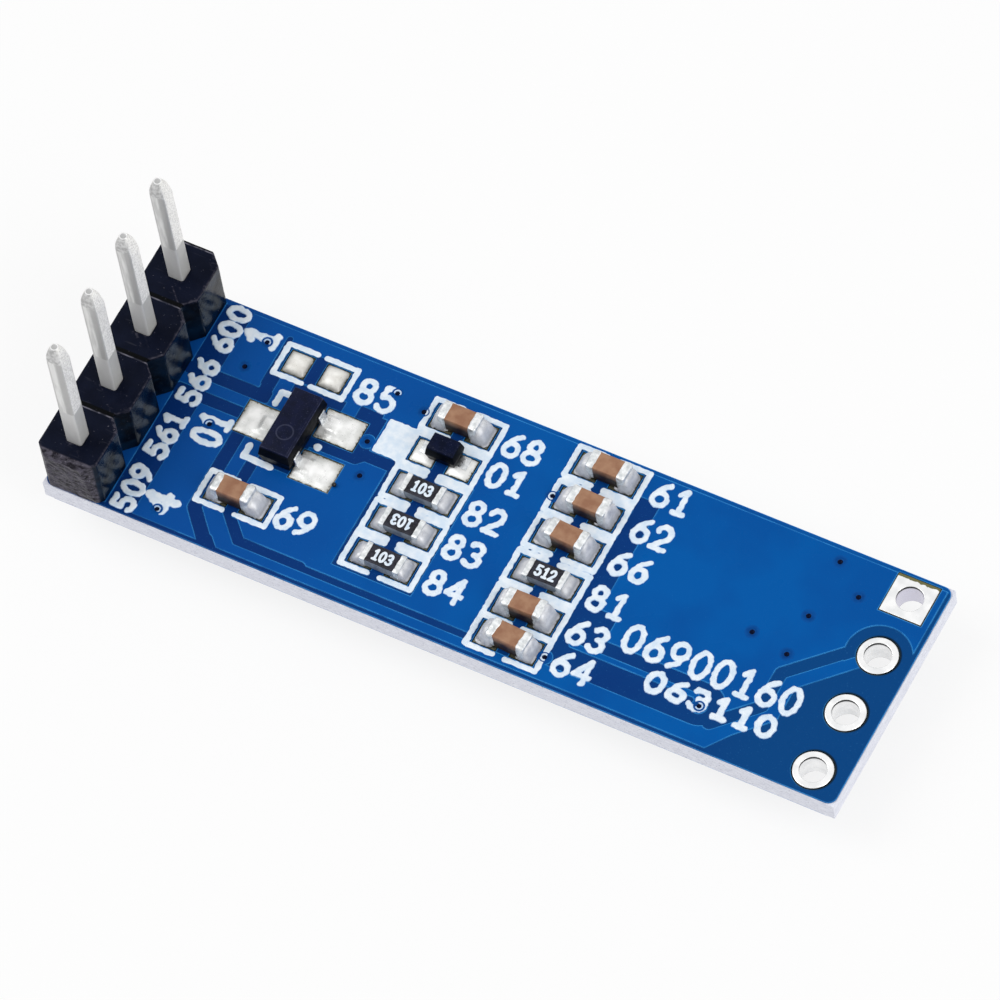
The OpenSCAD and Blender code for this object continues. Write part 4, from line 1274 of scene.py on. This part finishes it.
@dataclass
class Board:
    """The circuit board: laminate, foils, masks, plated holes and printed marks."""

    label_reach_mm: float = 2.45
    melt_mm: float = 0.055
    throat_mm: float = 0.11
    pool_mm: float = 0.28

    def dress_layers(self) -> None:
        """Dresses the board's own CAD layers."""
        low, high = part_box("mask_rear")
        rings = [(*centre(box), (box[1].x - box[0].x) / 2) for box in islands("end_plating")]
        square = max(rings, key=lambda ring: ring[1])
        film = {"roughness": 0.3, "ior": 1.52, "grain_mm": 0.25, "grain_depth_mm": 0.0012}
        dress("mask_rear", SolderMask(
            "solder_mask_rear", "#03509C", "#0257A4", patch_mm=3.0, rough_swing=0.08, step_z=high.z,
            specular=0.045, far_y=high.y, rings=tuple(r for r in rings if r != square), **film))
        # The front mask is flat outside, so it has one tone
        dress("mask_front", SolderMask("solder_mask_front", "#0A559F", "#095EAA", patch_mm=1.6,
                                       step_z=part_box("mask_front")[0].z, specular=0.12, **film))
        dress("laminate_core", Laminate("laminate", "#EDEFF8", "#DADCE8", roughness=0.75, grain_mm=0.06,
                                        grain_depth_mm=0.006, inner_x=high.x - 0.02 * MM,
                                        inner_y=high.y - 0.02 * MM))
        foil = Finish("copper_foil_tinned", "#6E6C58", "#45463B", patch_mm=0.15, metallic=1.0,
                      roughness=0.45)
        tin = TinnedHole("hot_tin_levelled", "#FAFAFA", "#E9EAEB", metallic=0.9, roughness=0.22,
                         grain_mm=0.3, grain_depth_mm=0.002, edge_mm=0.04, rim_z=high.z,
                         strip_y=square[1] + square[2] - 0.12 * MM)
        for side in ("rear", "front"):
            dress(f"copper_{side}", foil)
        dress("vias", Finish("via_copper_inked", "#061A4A", "#03103A", roughness=0.3, ior=1.52))
        for row in ("end", "header"):
            dress(f"{row}_plating", tin)

    def fill_vias(self) -> None:
        """Lets mask ink sag into each via, with a low swell around it."""
        top_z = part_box("mask_rear")[1].z
        pools = Relief(0.022)
        for via in VIAS:

            def depth(x: np.ndarray, y: np.ndarray, via: Point = via) -> np.ndarray:
                """Depth inside the swell."""
                return self.pool_mm * MM - np.hypot(x - via[0], y - via[1])

            def sag(x: float, y: float, d: float, via: Point = via) -> float:
                """A low swell that dips into the throat."""
                away = math.hypot(x - via[0], y - via[1]) / MM
                if away < self.throat_mm:
                    return top_z + (0.001 - 0.05 * (1 - (away / self.throat_mm) ** 2)) * MM
                slope = (away - self.throat_mm) / (self.pool_mm - self.throat_mm)
                return top_z + 0.008 * MM * max(1 - slope, 0.0)

            pools.add_patch(via, via, 0.4 * MM, depth, sag, top_z - 0.058 * MM)
        pools.piece("via_pools", PooledMask(
            "mask_pooled", "#07529F", "#06488F", patch_mm=0.2, roughness=0.3, ior=1.52, specular=0.045,
            grain_mm=0.1, grain_depth_mm=0.001, top_z=top_z), "solder_mask")

    def print_outlines(self) -> None:
        """Prints the brackets and marks of the CAD print with the ragged edge of screen ink."""
        low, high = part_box("print_rear")
        borders = top_outlines("print_rear")
        melt, reach, far_out = self.melt_mm * MM, 0.2 * MM, -40.0

        def depth(x: np.ndarray, y: np.ndarray) -> np.ndarray:
            """Depth inside the marks, which melt together where they almost touch."""
            total = np.full(x.shape, far_out)
            for border in borders:
                xs, ys = border[:, [0, 2]], border[:, [1, 3]]
                close = ((x > xs.min() - reach) & (x < xs.max() + reach)
                         & (y > ys.min() - reach) & (y < ys.max() + reach))
                total[close] = np.logaddexp(total[close], border_depth(border, x[close], y[close]) / melt)
            depths = total * melt - 0.004 * MM
            rough = wander(x, y, depths, 0.1 * MM, (1.0, 0.17, 8.0), (0.5, 0.4, 3.0))
            return leave_vias(x, y, depths + (rough * 0.032 + 0.012) * MM)

        marks = Relief(0.034)
        base = low.z - 0.004 * MM
        marks.add_patch(low, high, 0.1 * MM, depth, ink_crown(base, high.z, PEN_MM * MM), base)
        marks.piece("printed_outlines", WHITE_INK, "white_print", "print_rear")

    def print_numerals(self) -> None:
        """Prints plain numerals where the board carries its labels."""
        low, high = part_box("print_rear")
        base, top = low.z - 0.028 * MM, high.z

        labels = []
        chips = [f"{kind}_{i}_ends" for kind, last in (("capacitor", 7), ("resistor", 4))
                 for i in range(1, last + 1)]
        for node, digits in zip((*chips, "diode_body"), "61 62 66 63 64 68 69 81 82 83 84 01".split()):
            x, y = centre(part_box(node))
            labels.append(Numerals(digits, (x + self.label_reach_mm * MM, y + 0.06 * MM), 1.6, 1.18))
        x, y = centre(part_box("spare_land_solder"))
        labels.append(Numerals("85", (x + 2.52 * MM, y), 1.7, 1.22))
        printed("printed_chip_numerals", base, top, labels)

        up = Reading.UPWARD
        rows = []
        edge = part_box("header_housing")[1].x
        for number, digits in enumerate(("600", "566", "561", "509"), 1):
            y = centre(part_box(f"header_pin_{number}"))[1]
            rows.append(Numerals(digits, (edge + 0.64 * MM, 0.965 * y), 2.1, 1.02, reading=up))
            if number in (1, 4):
                rows.append(Numerals(str(number), (edge + 1.86 * MM, y + 0.02 * MM), 0.95, 1.46,
                                     1.5 * PEN_MM, up, ragged_mm=0.05))
        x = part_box("transistor_leads")[0].x
        rows.append(Numerals("01", (x - 1.72 * MM, -0.35 * MM), 1.45, 1.35, 1.1 * PEN_MM, up))
        printed("printed_header_numerals", base, top, rows)

        x, y = high.x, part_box("laminate_core")[0].y
        printed("printed_legend_numerals", base, top, [
            Numerals("06900160", (x + 5.6 * MM, y + 3.12 * MM), 7.05, 1.3, lean=0.6),
            Numerals("063110", (x + 6.18 * MM, y + 1.85 * MM), 5.2, 1.02, 1.05 * PEN_MM, lean=0.6)])

    def build(self) -> None:
        """Builds and dresses the board."""
        self.dress_layers()
        self.fill_vias()
        self.print_outlines()
        self.print_numerals()


@dataclass
class Header:
    """The pin header: moulded housing, four square pins and the solder round their tails."""

    skin_mm: float = 0.04
    torn_mm: float = 0.3
    polished_facing: float = 0.88
    pin_edge_mm: float = 0.09
    tail_mm: float = 0.13
    press_mm: float = 0.9
    rings: int = 24
    # The press squeezes the tip into a blunt dome with a small dished face, ring by ring:
    # depth below the top, half width in millimetres, and corner radius as a share of that half
    tip: tuple[Triple, ...] = (
        (0.88, 0.32, 0.3), (0.75, 0.314, 0.33), (0.6, 0.303, 0.36), (0.45, 0.288, 0.4), (0.32, 0.266, 0.46),
        (0.22, 0.241, 0.55), (0.14, 0.214, 0.66), (0.08, 0.19, 0.8), (0.035, 0.168, 0.92),
        (0.008, 0.15, 0.97), (0.0, 0.135, 0.98), (0.014, 0.1, 0.98), (0.024, 0.05, 0.98))

    def build_housing(self) -> None:
        """Moulds the housing with an even soft skin and a torn end."""
        low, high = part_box("header_housing")
        work = put("header_block_work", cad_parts["header_housing"].data.copy())
        for kind, settings in (("WELD", {"merge_threshold": WELD}),
                               ("REMESH", {"mode": "VOXEL", "voxel_size": self.skin_mm * MM}),
                               ("SMOOTH", {"factor": 0.5, "iterations": 4})):
            modifier = work.modifiers.new(kind.lower(), kind)
            for key, value in settings.items():
                setattr(modifier, key, value)
        mesh = bpy.data.meshes.new_from_object(work.evaluated_get(bpy.context.evaluated_depsgraph_get()))
        bpy.data.objects.remove(work)

        def rough(point: Vector, normal: Vector) -> float:
            """Slight waves all over, and a torn grain on the end that was snapped."""
            wave = 0.006 * ripple(*point, 0.5, 3.0) + 0.003 * ripple(*point, 0.14, 5.0)
            torn = share((low.y + self.torn_mm * MM - point.y) / (0.06 * MM)) * max(0.0, -normal.y)
            tear = 0.03 * ripple(*point, 0.25, 1.0) + 0.015 * ripple(*point, 0.1, 2.0) - 0.02
            return (wave + torn * tear) * MM

        moves = [vert.normal * rough(vert.co, vert.normal) for vert in mesh.vertices]
        for vert, move in zip(mesh.vertices, moves):
            vert.co = vert.co + move
        nylon = MouldedHousing("nylon_moulded", "#04091A", "#0A1022", patch_mm=0.7, roughness=0.42,
                               rough_swing=0.2, ior=1.53, specular=0.05, grain_mm=0.07,
                               grain_depth_mm=0.004, snap_y=low.y + (self.torn_mm + 0.02) * MM,
                               head_z=high.z, block=(high.y - low.y) / 4)
        adopt("header_block", mesh, nylon, "header_plastic", "header_housing", smooth_deg=80.0)
        # The mould was polished for the faces toward the board, so they mirror it
        polished = replace(nylon, name="nylon_polished", roughness=0.17, rough_swing=0.06, specular=0.13)
        mesh.materials.append(polished.material())
        for face in mesh.polygons:
            face.material_index = int(face.normal.x > self.polished_facing)

    def section(self, x: float, y: float, z: float, half: float, corner: float) -> list[Triple]:
        """Gives one outline of a pin: a square with round corners.

        Args:
            x: Middle along the board.
            y: Middle across the board.
            z: Height.
            half: Half of the square's side.
            corner: Radius of its corners.

        Returns:
            Points round the outline.
        """
        ring = []
        for quarter in range(4):
            cx = (half - corner) * (1 if quarter in (0, 3) else -1)
            cy = (half - corner) * (1 if quarter in (0, 1) else -1)
            for part in range(5):
                angle = math.radians(90 * quarter + 90 * part / 4)
                ring.append((x + cx + corner * math.cos(angle), y + cy + corner * math.sin(angle), z))
        return ring

    def pin(self, number: int, box: Box) -> Shape:
        """Draws one pin from its tail to its pressed tip.

        Args:
            number: Number of the pin, which starts its noise.
            box: Its box.

        Returns:
            Corners and faces.
        """
        low, high = box
        middle = (low + high) / 2
        half = (high.x - low.x) / 2
        body = self.pin_edge_mm * MM / half
        first, last = low.z + 0.3 * MM, high.z - (self.press_mm + 0.02) * MM
        # Height, half width, and corner radius as a share of that half
        plan = [(low.z, self.tail_mm * MM * 1.1, 0.8), (low.z + 0.1 * MM, half * 0.75, 0.5),
                (low.z + 0.24 * MM, half, 0.25)]
        plan += [(first + (last - first) * i / self.rings, half, body) for i in range(self.rings + 1)]
        plan += [(high.z - drop * MM, size * MM, corner) for drop, size, corner in self.tip]
        verts: list[Triple] = []
        for z, size, corner in plan:
            twist = 1 + 0.012 * ripple(middle.x, middle.y, z, 0.5, number)
            lean = share(((z - high.z) / MM + self.press_mm) / 0.4) * 0.022 * MM
            verts += self.section(middle.x - lean, middle.y - 0.7 * lean, z, size * min(twist, 1.0),
                                  size * min(corner, 0.98))
        ring = len(verts) // len(plan)
        faces = [list(range(ring))[::-1], list(range(len(verts) - ring, len(verts)))]
        for start in range(0, len(verts) - ring, ring):
            for k in range(ring):
                a, b = start + k, start + (k + 1) % ring
                faces.append([a, b, b + ring, a + ring])
        return verts, faces

    def build(self) -> None:
        """Builds and dresses the header."""
        self.build_housing()
        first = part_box("header_pin_1")
        brass = PinMetal("tin_plated_brass", "#E6E6E5", "#CDCDCC", metallic=0.12, roughness=0.4,
                         rough_swing=0.2, dull_z=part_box("header_housing")[1].z + 2.0 * MM,
                         tip_z=first[1].z, line_x=centre(first)[0])
        for number in range(1, 5):
            node = f"header_pin_{number}"
            shape = self.pin(number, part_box(node))
            adopt(f"pin_{number}", shape, brass, "pin_metal", node, smooth_deg=30.0)
        dress("header_solder", Finish("wave_solder", "#E3E5E7", "#C6C9CC", patch_mm=0.3, metallic=1.0,
                                      roughness=0.28, rough_swing=0.15, grain_mm=0.2, grain_depth_mm=0.008,
                                      edge_mm=0.04))


@dataclass
class ChipParts:
    """The chip capacitors and resistors with their solder."""

    end_mm: float = 0.34
    step_mm: float = 0.03
    film_mm: float = 0.05
    land_corner_mm: float = 0.17

    def block(self, chip: ChipPlace, size: Vector, shift: float, radius_mm: float, dent_mm: float,
              seed: float, cuts: tuple[int, int, int]) -> Shape:
        """Builds one soft block of a chip.

        Args:
            chip: Where the chip lies.
            size: Size of the block.
            shift: Its height over the chip's middle.
            radius_mm: Radius of its edges.
            dent_mm: Depth of its dents.
            seed: Start of its noise.
            cuts: Grid cells along each axis.

        Returns:
            Corners and faces.
        """
        def dent(point: Vector) -> Vector:
            """Moves a point in or out a little."""
            out = point.normalized() if point.length > 0 else Vector((0, 0, 1))
            deep = ripple(*point, 0.22, seed) + 0.5 * ripple(*point, 0.09, seed + 4)
            return point + out * min(deep, 0.35) * dent_mm * MM

        return soft_block(size, radius_mm * MM, cuts, chip.matrix(Vector((0, 0, shift))), dent)

    def ends(self, name: str, chip: ChipPlace, node: str, radius_mm: float, end_mm: float,
             finish: Finish) -> None:
        """Builds both metal ends of a chip, with wandering inner borders.

        Args:
            name: Name of the piece.
            chip: Where the chip lies.
            node: CAD node that the piece stands for.
            radius_mm: Radius of the edges.
            end_mm: Length of each end.
            finish: Its surface.
        """
        verts: list[Vector] = []
        faces: list[list[int]] = []
        end = end_mm * MM
        seed = chip.middle.x * 1000 + chip.middle.y * 331
        for side in (-1, 1):

            def dent(point: Vector, side: int = side) -> Vector:
                """Lets the inner border wander, and the skin swell a little."""
                moved = point.copy()
                if point.x * side < 0:
                    moved.x += 0.028 * ripple(0, point.y, point.z, 0.12, seed + side) * MM
                swell = ripple(*point, 0.25, seed + 2 * side)
                return moved + point.normalized() * min(swell, 0.2) * 0.012 * MM

            place = chip.matrix(Vector((side * (chip.length - end) / 2, 0, 0)))
            size = Vector((end, chip.width, chip.high - chip.low))
            part, quads = soft_block(size, radius_mm * MM, (7, 12, 10), place, dent)
            faces += [[len(verts) + v for v in quad] for quad in quads]
            verts += part
        adopt(name, (verts, faces), finish, "chip_end_tin", node, smooth_deg=60.0)

    def build_capacitors(self, tin: Finish) -> None:
        """Builds the seven capacitors.

        Args:
            tin: Finish of their metal ends.
        """
        low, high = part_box("capacitor_1_ends")
        ceramic = ChipCeramic("fired_ceramic_tan", "#A27A5E", "#8E6349", patch_mm=0.4, rough_swing=0.15,
                              ior=1.6, specular=0.3, foot_z=low.z + 0.4 * MM, head_z=high.z - 0.07 * MM)
        for i in range(1, 8):
            chip = ChipPlace.of(f"capacitor_{i}_ends")
            size = Vector((chip.length - 0.06 * MM, chip.width - 0.05 * MM,
                           chip.high - chip.low - 0.05 * MM))
            adopt(f"capacitor_block_{i}", self.block(chip, size, 0, 0.045, 0.01, 7.0 * i, (16, 10, 10)),
                  ceramic, "capacitor_ceramic", f"capacitor_{i}_body")
            self.ends(f"capacitor_caps_{i}", chip, f"capacitor_{i}_ends", 0.1, 0.36, tin)

    def build_resistors(self, tin: Finish) -> None:
        """Builds the four resistors with their coats and value numerals.

        Args:
            tin: Finish of their metal ends.
        """
        alumina = Finish("alumina_fired", "#7F8894", "#5D6875", patch_mm=0.25, roughness=0.55, ior=1.76,
                         grain_mm=0.04, grain_depth_mm=0.004)
        glaze = Finish("lead_glass_coat", "#17171F", "#2A2A36", patch_mm=0.3, roughness=0.3,
                       rough_swing=0.15, specular=0.25)
        for i in range(1, 5):
            chip = ChipPlace.of(f"resistor_{i}_ends")
            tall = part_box(f"resistor_{i}_body")[1].z - chip.low - 0.01 * MM
            slab = Vector((chip.length - 0.08 * MM, chip.width - 0.05 * MM, tall))
            drop = (chip.low + tall / 2) - chip.middle.z + 0.005 * MM
            adopt(f"resistor_slab_{i}", self.block(chip, slab, drop, 0.02, 0.006, 3.0 * i, (14, 8, 5)),
                  alumina, "resistor_ceramic", f"resistor_{i}_body")
            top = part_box(f"resistor_{i}_coat")[1].z
            coat = Vector((chip.length - 2 * self.end_mm * MM + 0.24 * MM, chip.width - 0.06 * MM,
                           0.05 * MM))
            lift = top - 0.025 * MM - chip.middle.z
            adopt(f"resistor_glaze_{i}", self.block(chip, coat, lift, 0.022, 0.004, 5.0 * i, (14, 10, 4)),
                  glaze, "resistor_coat", f"resistor_{i}_coat")
            self.ends(f"resistor_caps_{i}", chip, f"resistor_{i}_ends", 0.045, 0.23, tin)
            way = Reading.BACKWARD if i == 3 else Reading.ALONG
            value = Numerals("103" if i > 1 else "512", (chip.middle.x, chip.middle.y), 0.84, 0.5, 0.1, way,
                             math.degrees(chip.turn), 0.008)
            printed(f"resistor_numerals_{i}", top - 0.006 * MM, top + 0.008 * MM, [value], 0.012)

    def fillet(self, relief: Relief, chip: ChipPlace, box: Box, climb: float) -> None:
        """Adds the solder of one land: a film, and a slope up the chip's end.

        Args:
            relief: Relief that gets the patch.
            chip: The chip that stands on the land.
            box: Box of the CAD solid.
            climb: Share of the chip's height that the solder climbs.
        """
        low, high = box
        middle = (low + high) / 2
        side = 1 if chip.local(middle.x, middle.y)[0] > 0 else -1
        seed = middle.x * 700 + middle.y * 300
        rise = (chip.high - chip.low) * climb * (1.0 + 0.12 * math.sin(seed * 5))
        reach = abs((high.x if side > 0 else low.x) - chip.middle.x) - chip.length / 2

        def top(x: float, y: float, d: float) -> float:
            """Rounded blob against the chip's end, lumpy where it froze."""
            u, v = chip.local(x, y)
            past = side * u - chip.length / 2
            t = max(past, 0.0) / max(reach, 1e-5)
            bulge = max(1 - (t / 0.86) ** 1.7, 0.0) ** 0.62
            half = 0.5 * chip.width * (1.14 - 0.3 * t * t)
            fall = max(1 - (abs(v) / half) ** 4, 0.0) ** 0.5
            inner = share((past / MM + 0.3) / 0.12)
            lump = 1 + 0.1 * ripple(x, y, 0, 0.4, seed) + 0.03 * ripple(x, y, 0, 0.15, seed)
            film = self.film_mm * MM * share(d / (0.09 * MM)) ** 0.5
            bank = rise * bulge * fall * inner * lump
            return low.z + 0.006 * MM + film + bank * min(1.0, d / (0.05 * MM))

        depth = land_depth(box, self.land_corner_mm, (1.0, 0.15, seed))
        relief.add_patch(low, high, LAND_MARGIN, depth, top, low.z)

    def build(self) -> None:
        """Builds and dresses the chip parts."""
        tin = Finish("plated_tin_barrel", "#E9EBEC", "#C4C8CA", patch_mm=0.16, metallic=0.75,
                     roughness=0.42, rough_swing=0.25, grain_depth_mm=0.008)
        self.build_capacitors(tin)
        self.build_resistors(tin)
        frosted = Solder("reflowed_solder", "#DEDFE2", "#BEC1C8", patch_mm=0.3, metallic=0.3,
                         roughness=0.48, rough_swing=0.2, grain_mm=0.13, grain_depth_mm=0.008,
                         foot_z=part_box("capacitor_solder")[0].z, skirt_mm=0.45, skirt="#A9ABB1")
        for kind, count, climb in (("capacitor", 7, 0.86), ("resistor", 4, 0.8)):
            chips = [ChipPlace.of(f"{kind}_{i}_ends") for i in range(1, count + 1)]
            relief = Relief(self.step_mm)
            for box in islands(f"{kind}_solder"):
                chip = min(chips, key=lambda c: (c.middle - (box[0] + box[1]) / 2).xy.length)
                self.fillet(relief, chip, box, climb)
            relief.piece(f"{kind}_fillets", frosted, "solder", f"{kind}_solder")


@dataclass
class ThreeLeadParts:
    """The transistor, the diode, their solder, the tinned empty lands and a stray solder ball."""

    step_mm: float = 0.03
    ball_mm: float = 0.4

    def land(self, relief: Relief, box: Box, sizes_mm: Triple, feet: Sequence[Box]) -> None:
        """Adds the solder that lies on one open land.

        Args:
            relief: Relief that gets the patch.
            box: Box of the CAD solid.
            sizes_mm: Height of the crown, depth of its lumps and radius of the land's corners.
            feet: Boxes of the leads that the solder covers.
        """
        low, high = box
        swell_mm, lump_mm, corner_mm = sizes_mm
        middle, half = (low + high) / 2, (high - low) / 2
        seed = middle.x * 650 + middle.y * 410

        def top(x: float, y: float, d: float) -> float:
            """Low crown with frozen lumps, and a mound round each foot."""
            u, v = abs(x - middle.x) / half.x, abs(y - middle.y) / half.y
            rise = (max(1 - u ** 3, 0.0) * max(1 - v ** 3, 0.0)) ** 0.6
            lumps = ripple(x, y, 0, 0.5, seed) + 0.35 * ripple(x, y, 0, 0.2, seed + 3)
            mound = 0.0
            for a, b in feet:
                away = math.hypot(max(a.x - x, 0.0, x - b.x), max(a.y - y, 0.0, y - b.y))
                mound = max(mound, 0.11 * math.exp(-(away / (0.16 * MM)) ** 2))
            edge = min(1.0, d / (0.06 * MM))
            return low.z + (0.008 + swell_mm * rise + edge * (lump_mm * lumps + mound)) * MM

        depth = land_depth(box, corner_mm, (1.0, 0.22, seed), (0.6, 0.09, seed))
        relief.add_patch(low, high, LAND_MARGIN, depth, top, low.z)

    def ball(self, box: Box) -> None:
        """Adds the stray solder ball as its own small piece.

        Args:
            box: Box of its CAD solid.
        """
        low, high = box
        shape = bmesh.new()
        bmesh.ops.create_icosphere(shape, subdivisions=3, radius=(high.x - low.x) / 2)
        for vert in shape.verts:
            vert.co = (low + high) / 2 + vert.co * (1 + 0.06 * ripple(*vert.co, 0.06, 2.0))
        dark = Finish("oxidised_solder", "#3C3A38", "#1E1D1E", patch_mm=0.05, metallic=0.8, roughness=0.3)
        adopt("stray_solder_ball", shape, dark, "solder")

    def pads(self, name: str, node: str, sizes_mm: Triple, finish: Finish,
             feet: Sequence[Box] = ()) -> None:
        """Shapes the solder of a CAD node whose solids lie on open lands.

        Args:
            name: Name of the piece.
            node: CAD node that it stands for.
            sizes_mm: Height of the crown, depth of its lumps and radius of the lands' corners.
            finish: Its surface.
            feet: Boxes of the leads that the solder covers.
        """
        relief = Relief(self.step_mm)
        for box in islands(node):
            if max((box[1] - box[0]).xy) < self.ball_mm * MM:
                self.ball(box)
            else:
                self.land(relief, box, sizes_mm, feet)
        relief.piece(name, finish, "solder", node)

    def build(self) -> None:
        """Builds and dresses these parts."""
        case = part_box("transistor_body")
        x, y = centre(case)
        softened("transistor_case", "transistor_body", 0.04, MouldedResin(
            "epoxy_moulded", "#0A1026", "#0F1530", patch_mm=0.35, roughness=0.42, rough_swing=0.2, ior=1.55,
            specular=0.07, grain_mm=0.06, grain_depth_mm=0.004, mark=(x, y - 0.48 * MM), head_z=case[1].z),
            "transistor_resin")
        softened("diode_case", "diode_body", 0.035, MouldedResin(
            "epoxy_moulded_dark", "#050C20", "#0A122C", patch_mm=0.3, roughness=0.35, ior=1.55,
            specular=0.045, grain_mm=0.06, grain_depth_mm=0.004, head_z=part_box("diode_body")[1].z),
            "diode_resin")
        tin = Finish("lead_frame_tin", "#E4E6E8", "#BFC3C6", patch_mm=0.12, metallic=1.0, roughness=0.36,
                     rough_swing=0.2, grain_depth_mm=0.006)
        for kind in ("transistor", "diode"):
            softened(f"{kind}_feet", f"{kind}_leads", 0.02, tin, "lead_tin", segments=2)
        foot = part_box("capacitor_solder")[0].z
        bright = Solder("bright_solder", "#F8F8F7", "#DCDDDB", metallic=0.35, roughness=0.36,
                        rough_swing=0.25, grain_mm=0.2, grain_depth_mm=0.005, foot_z=foot,
                        stain_mm=0.028, skirt_mm=0.07, skirt="#B5B5AE")
        domed = Solder("domed_solder", "#F8F7F3", "#E3E1DB", patch_mm=0.3, metallic=0.2, roughness=0.4,
                       rough_swing=0.2, grain_mm=0.12, grain_depth_mm=0.004, foot_z=foot, stain="#565326",
                       skirt_mm=0.2, skirt="#94928B")
        leads = islands("transistor_leads")
        self.pads("transistor_pads", "transistor_solder", (0.075, 0.02, 0.05), bright, leads)
        self.pads("diode_pads", "diode_solder", (0.1, 0.03, 0.08), bright)
        self.pads("tinned_empty_lands", "spare_land_solder", (0.19, 0.004, 0.16), domed)


@dataclass
class Panel:
    """The display panel on the board's front: glasses, film, driver chip, tail and tape."""

    def build(self) -> None:
        """Dresses the panel."""
        low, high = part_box("panel_polariser")
        for node, finish in {
            "panel_glass": ClearSheet("float_glass_cut", "#F4F8F8", "#EAF2F2", patch_mm=3.0, roughness=0.03,
                                      rough_swing=0.02, ior=1.52, grain_mm=2.0, grain_depth_mm=0.0005),
            "panel_cover_glass": Finish("glass_over_black_coat", "#0C0D11", "#101219", patch_mm=2.0,
                                        roughness=0.08, rough_swing=0.04, ior=1.52, specular=0.2,
                                        grain_mm=2.0, grain_depth_mm=0.0005),
            "panel_polariser": DisplayFilm("polarising_film", "#1B1F33", "#171A2B", patch_mm=4.0,
                                           roughness=0.12, rough_swing=0.05, ior=1.49, specular=0.15,
                                           grain_mm=1.0, grain_depth_mm=0.0008, middle=centre((low, high)),
                                           half=((high.x - low.x) / 2 - 1.1 * MM,
                                                 (high.y - low.y) / 2 - 1.0 * MM)),
            "driver_chip": Finish("silicon_ground", "#5A5E68", "#474B55", patch_mm=0.4, roughness=0.3,
                                  metallic=0.6, grain_depth_mm=0.002),
            "driver_resin": ClearSheet("resin_poured", "#DCE6E4", "#CBD9D6", patch_mm=0.6, roughness=0.12,
                                       grain_mm=0.4, grain_depth_mm=0.01),
            "flex_tail": Finish("polyimide_film", "#B87A2E", "#A4661F", patch_mm=0.6, roughness=0.35,
                                ior=1.6, grain_mm=0.1),
            "flex_solder": Finish("bar_solder", "#D9DBDD", "#B9BCBF", patch_mm=0.2, metallic=1.0,
                                  roughness=0.35),
            "panel_tape": Finish("foam_tape_cut", "#EDEDE8", "#DADAD4", patch_mm=0.3, roughness=0.85,
                                 grain_mm=0.12, grain_depth_mm=0.02),
        }.items():
            dress(node, finish)


@dataclass
class Stage:
    """The floor, the lamps, the surrounding light and the camera."""

    azimuth_deg: float = 36.922
    elevation_deg: float = 58.675
    roll_deg: float = 10.664
    distance: float = 0.35747
    aim: Triple = (-0.000522, 0.001369, 0.00245)
    lens_mm: float = 359.19

    def build_floor(self) -> None:
        """Lays a pale plain floor that stays white to the eye and keeps a soft shadow."""
        shape = bmesh.new()
        bmesh.ops.create_circle(shape, cap_ends=True, segments=96, radius=0.6)
        mesh = bpy.data.meshes.new("floor")
        shape.to_mesh(mesh)
        shape.free()
        floor = put("floor", mesh)
        floor.location.z = CAD_BOX[0][2] - 0.02 * MM
        material = bpy.data.materials.new("pale_paper")
        g = Graph.of(material)
        paper = Finish("paper", "#F2F2F2", "#EFEFEF", patch_mm=40.0, roughness=0.9, grain_mm=0.4,
                       grain_depth_mm=0.002).shade(g)
        glow = g.add("Math", g.seen(), 0.84, operation="MULTIPLY")
        g.add("OutputMaterial", g.add("MixShader", glow, paper, g.add("Emission", "#FFFFFF", 1.0)))
        mesh.materials.append(material)

    def build_world(self) -> None:
        """Surrounds the module with even light, white where it is seen."""
        world = bpy.data.worlds.new("studio")
        bpy.context.scene.world = world
        g = Graph.of(world)
        strength = g.add("MapRange", g.seen(), 0.0, 1.0, 0.55, 1.0)
        g.add("OutputWorld", g.add("Background", "#FFFFFF", strength))

    def lamp(self, name: str, azimuth_deg: float, elevation_deg: float, reach: float, size: float,
             watts: float) -> None:
        """Hangs one soft square lamp that faces the module.

        Args:
            name: Name of the lamp.
            azimuth_deg: Its direction from the near side.
            elevation_deg: Its height above the floor.
            reach: Its distance in metres.
            size: Its side in metres.
            watts: Its power.
        """
        data = bpy.data.lights.new(name, "AREA")
        data.shape = "SQUARE"
        data.size = size
        data.energy = watts
        lamp = put(name, data)
        way = direction(azimuth_deg, elevation_deg)
        lamp.location = way * reach
        lamp.rotation_euler = (-way).to_track_quat("-Z", "Y").to_euler()

    def build_camera(self) -> None:
        """Sets the camera at its viewing angle."""
        data = bpy.data.cameras.new("camera")
        data.lens = self.lens_mm
        data.sensor_width = 36.0
        data.clip_start = 0.01
        data.clip_end = 10.0
        camera = put("camera", data)
        way = direction(self.azimuth_deg, self.elevation_deg)
        rotation = (-way).to_track_quat("-Z", "Y").to_matrix()
        rotation = rotation @ Matrix.Rotation(-math.radians(self.roll_deg), 3, "Z")
        camera.matrix_world = Matrix.Translation(Vector(self.aim) + way * self.distance) @ rotation.to_4x4()
        bpy.context.scene.camera = camera

    def build(self) -> None:
        """Builds the stage."""
        self.build_camera()
        self.build_floor()
        self.build_world()
        self.lamp("key", -75, 52, 0.45, 0.3, 0.75)
        self.lamp("fill", 80, 38, 0.5, 0.3, 0.95)
        bpy.context.scene.view_settings.view_transform = "Standard"


def main() -> None:
    """Builds the stage and the module in order."""
    logging.basicConfig(level=logging.INFO, format="%(name)s %(message)s")
    for part in (Stage(), Board(), Header(), ChipParts(), ThreeLeadParts(), Panel()):
        part.build()


if __name__ == "__main__":
    main()
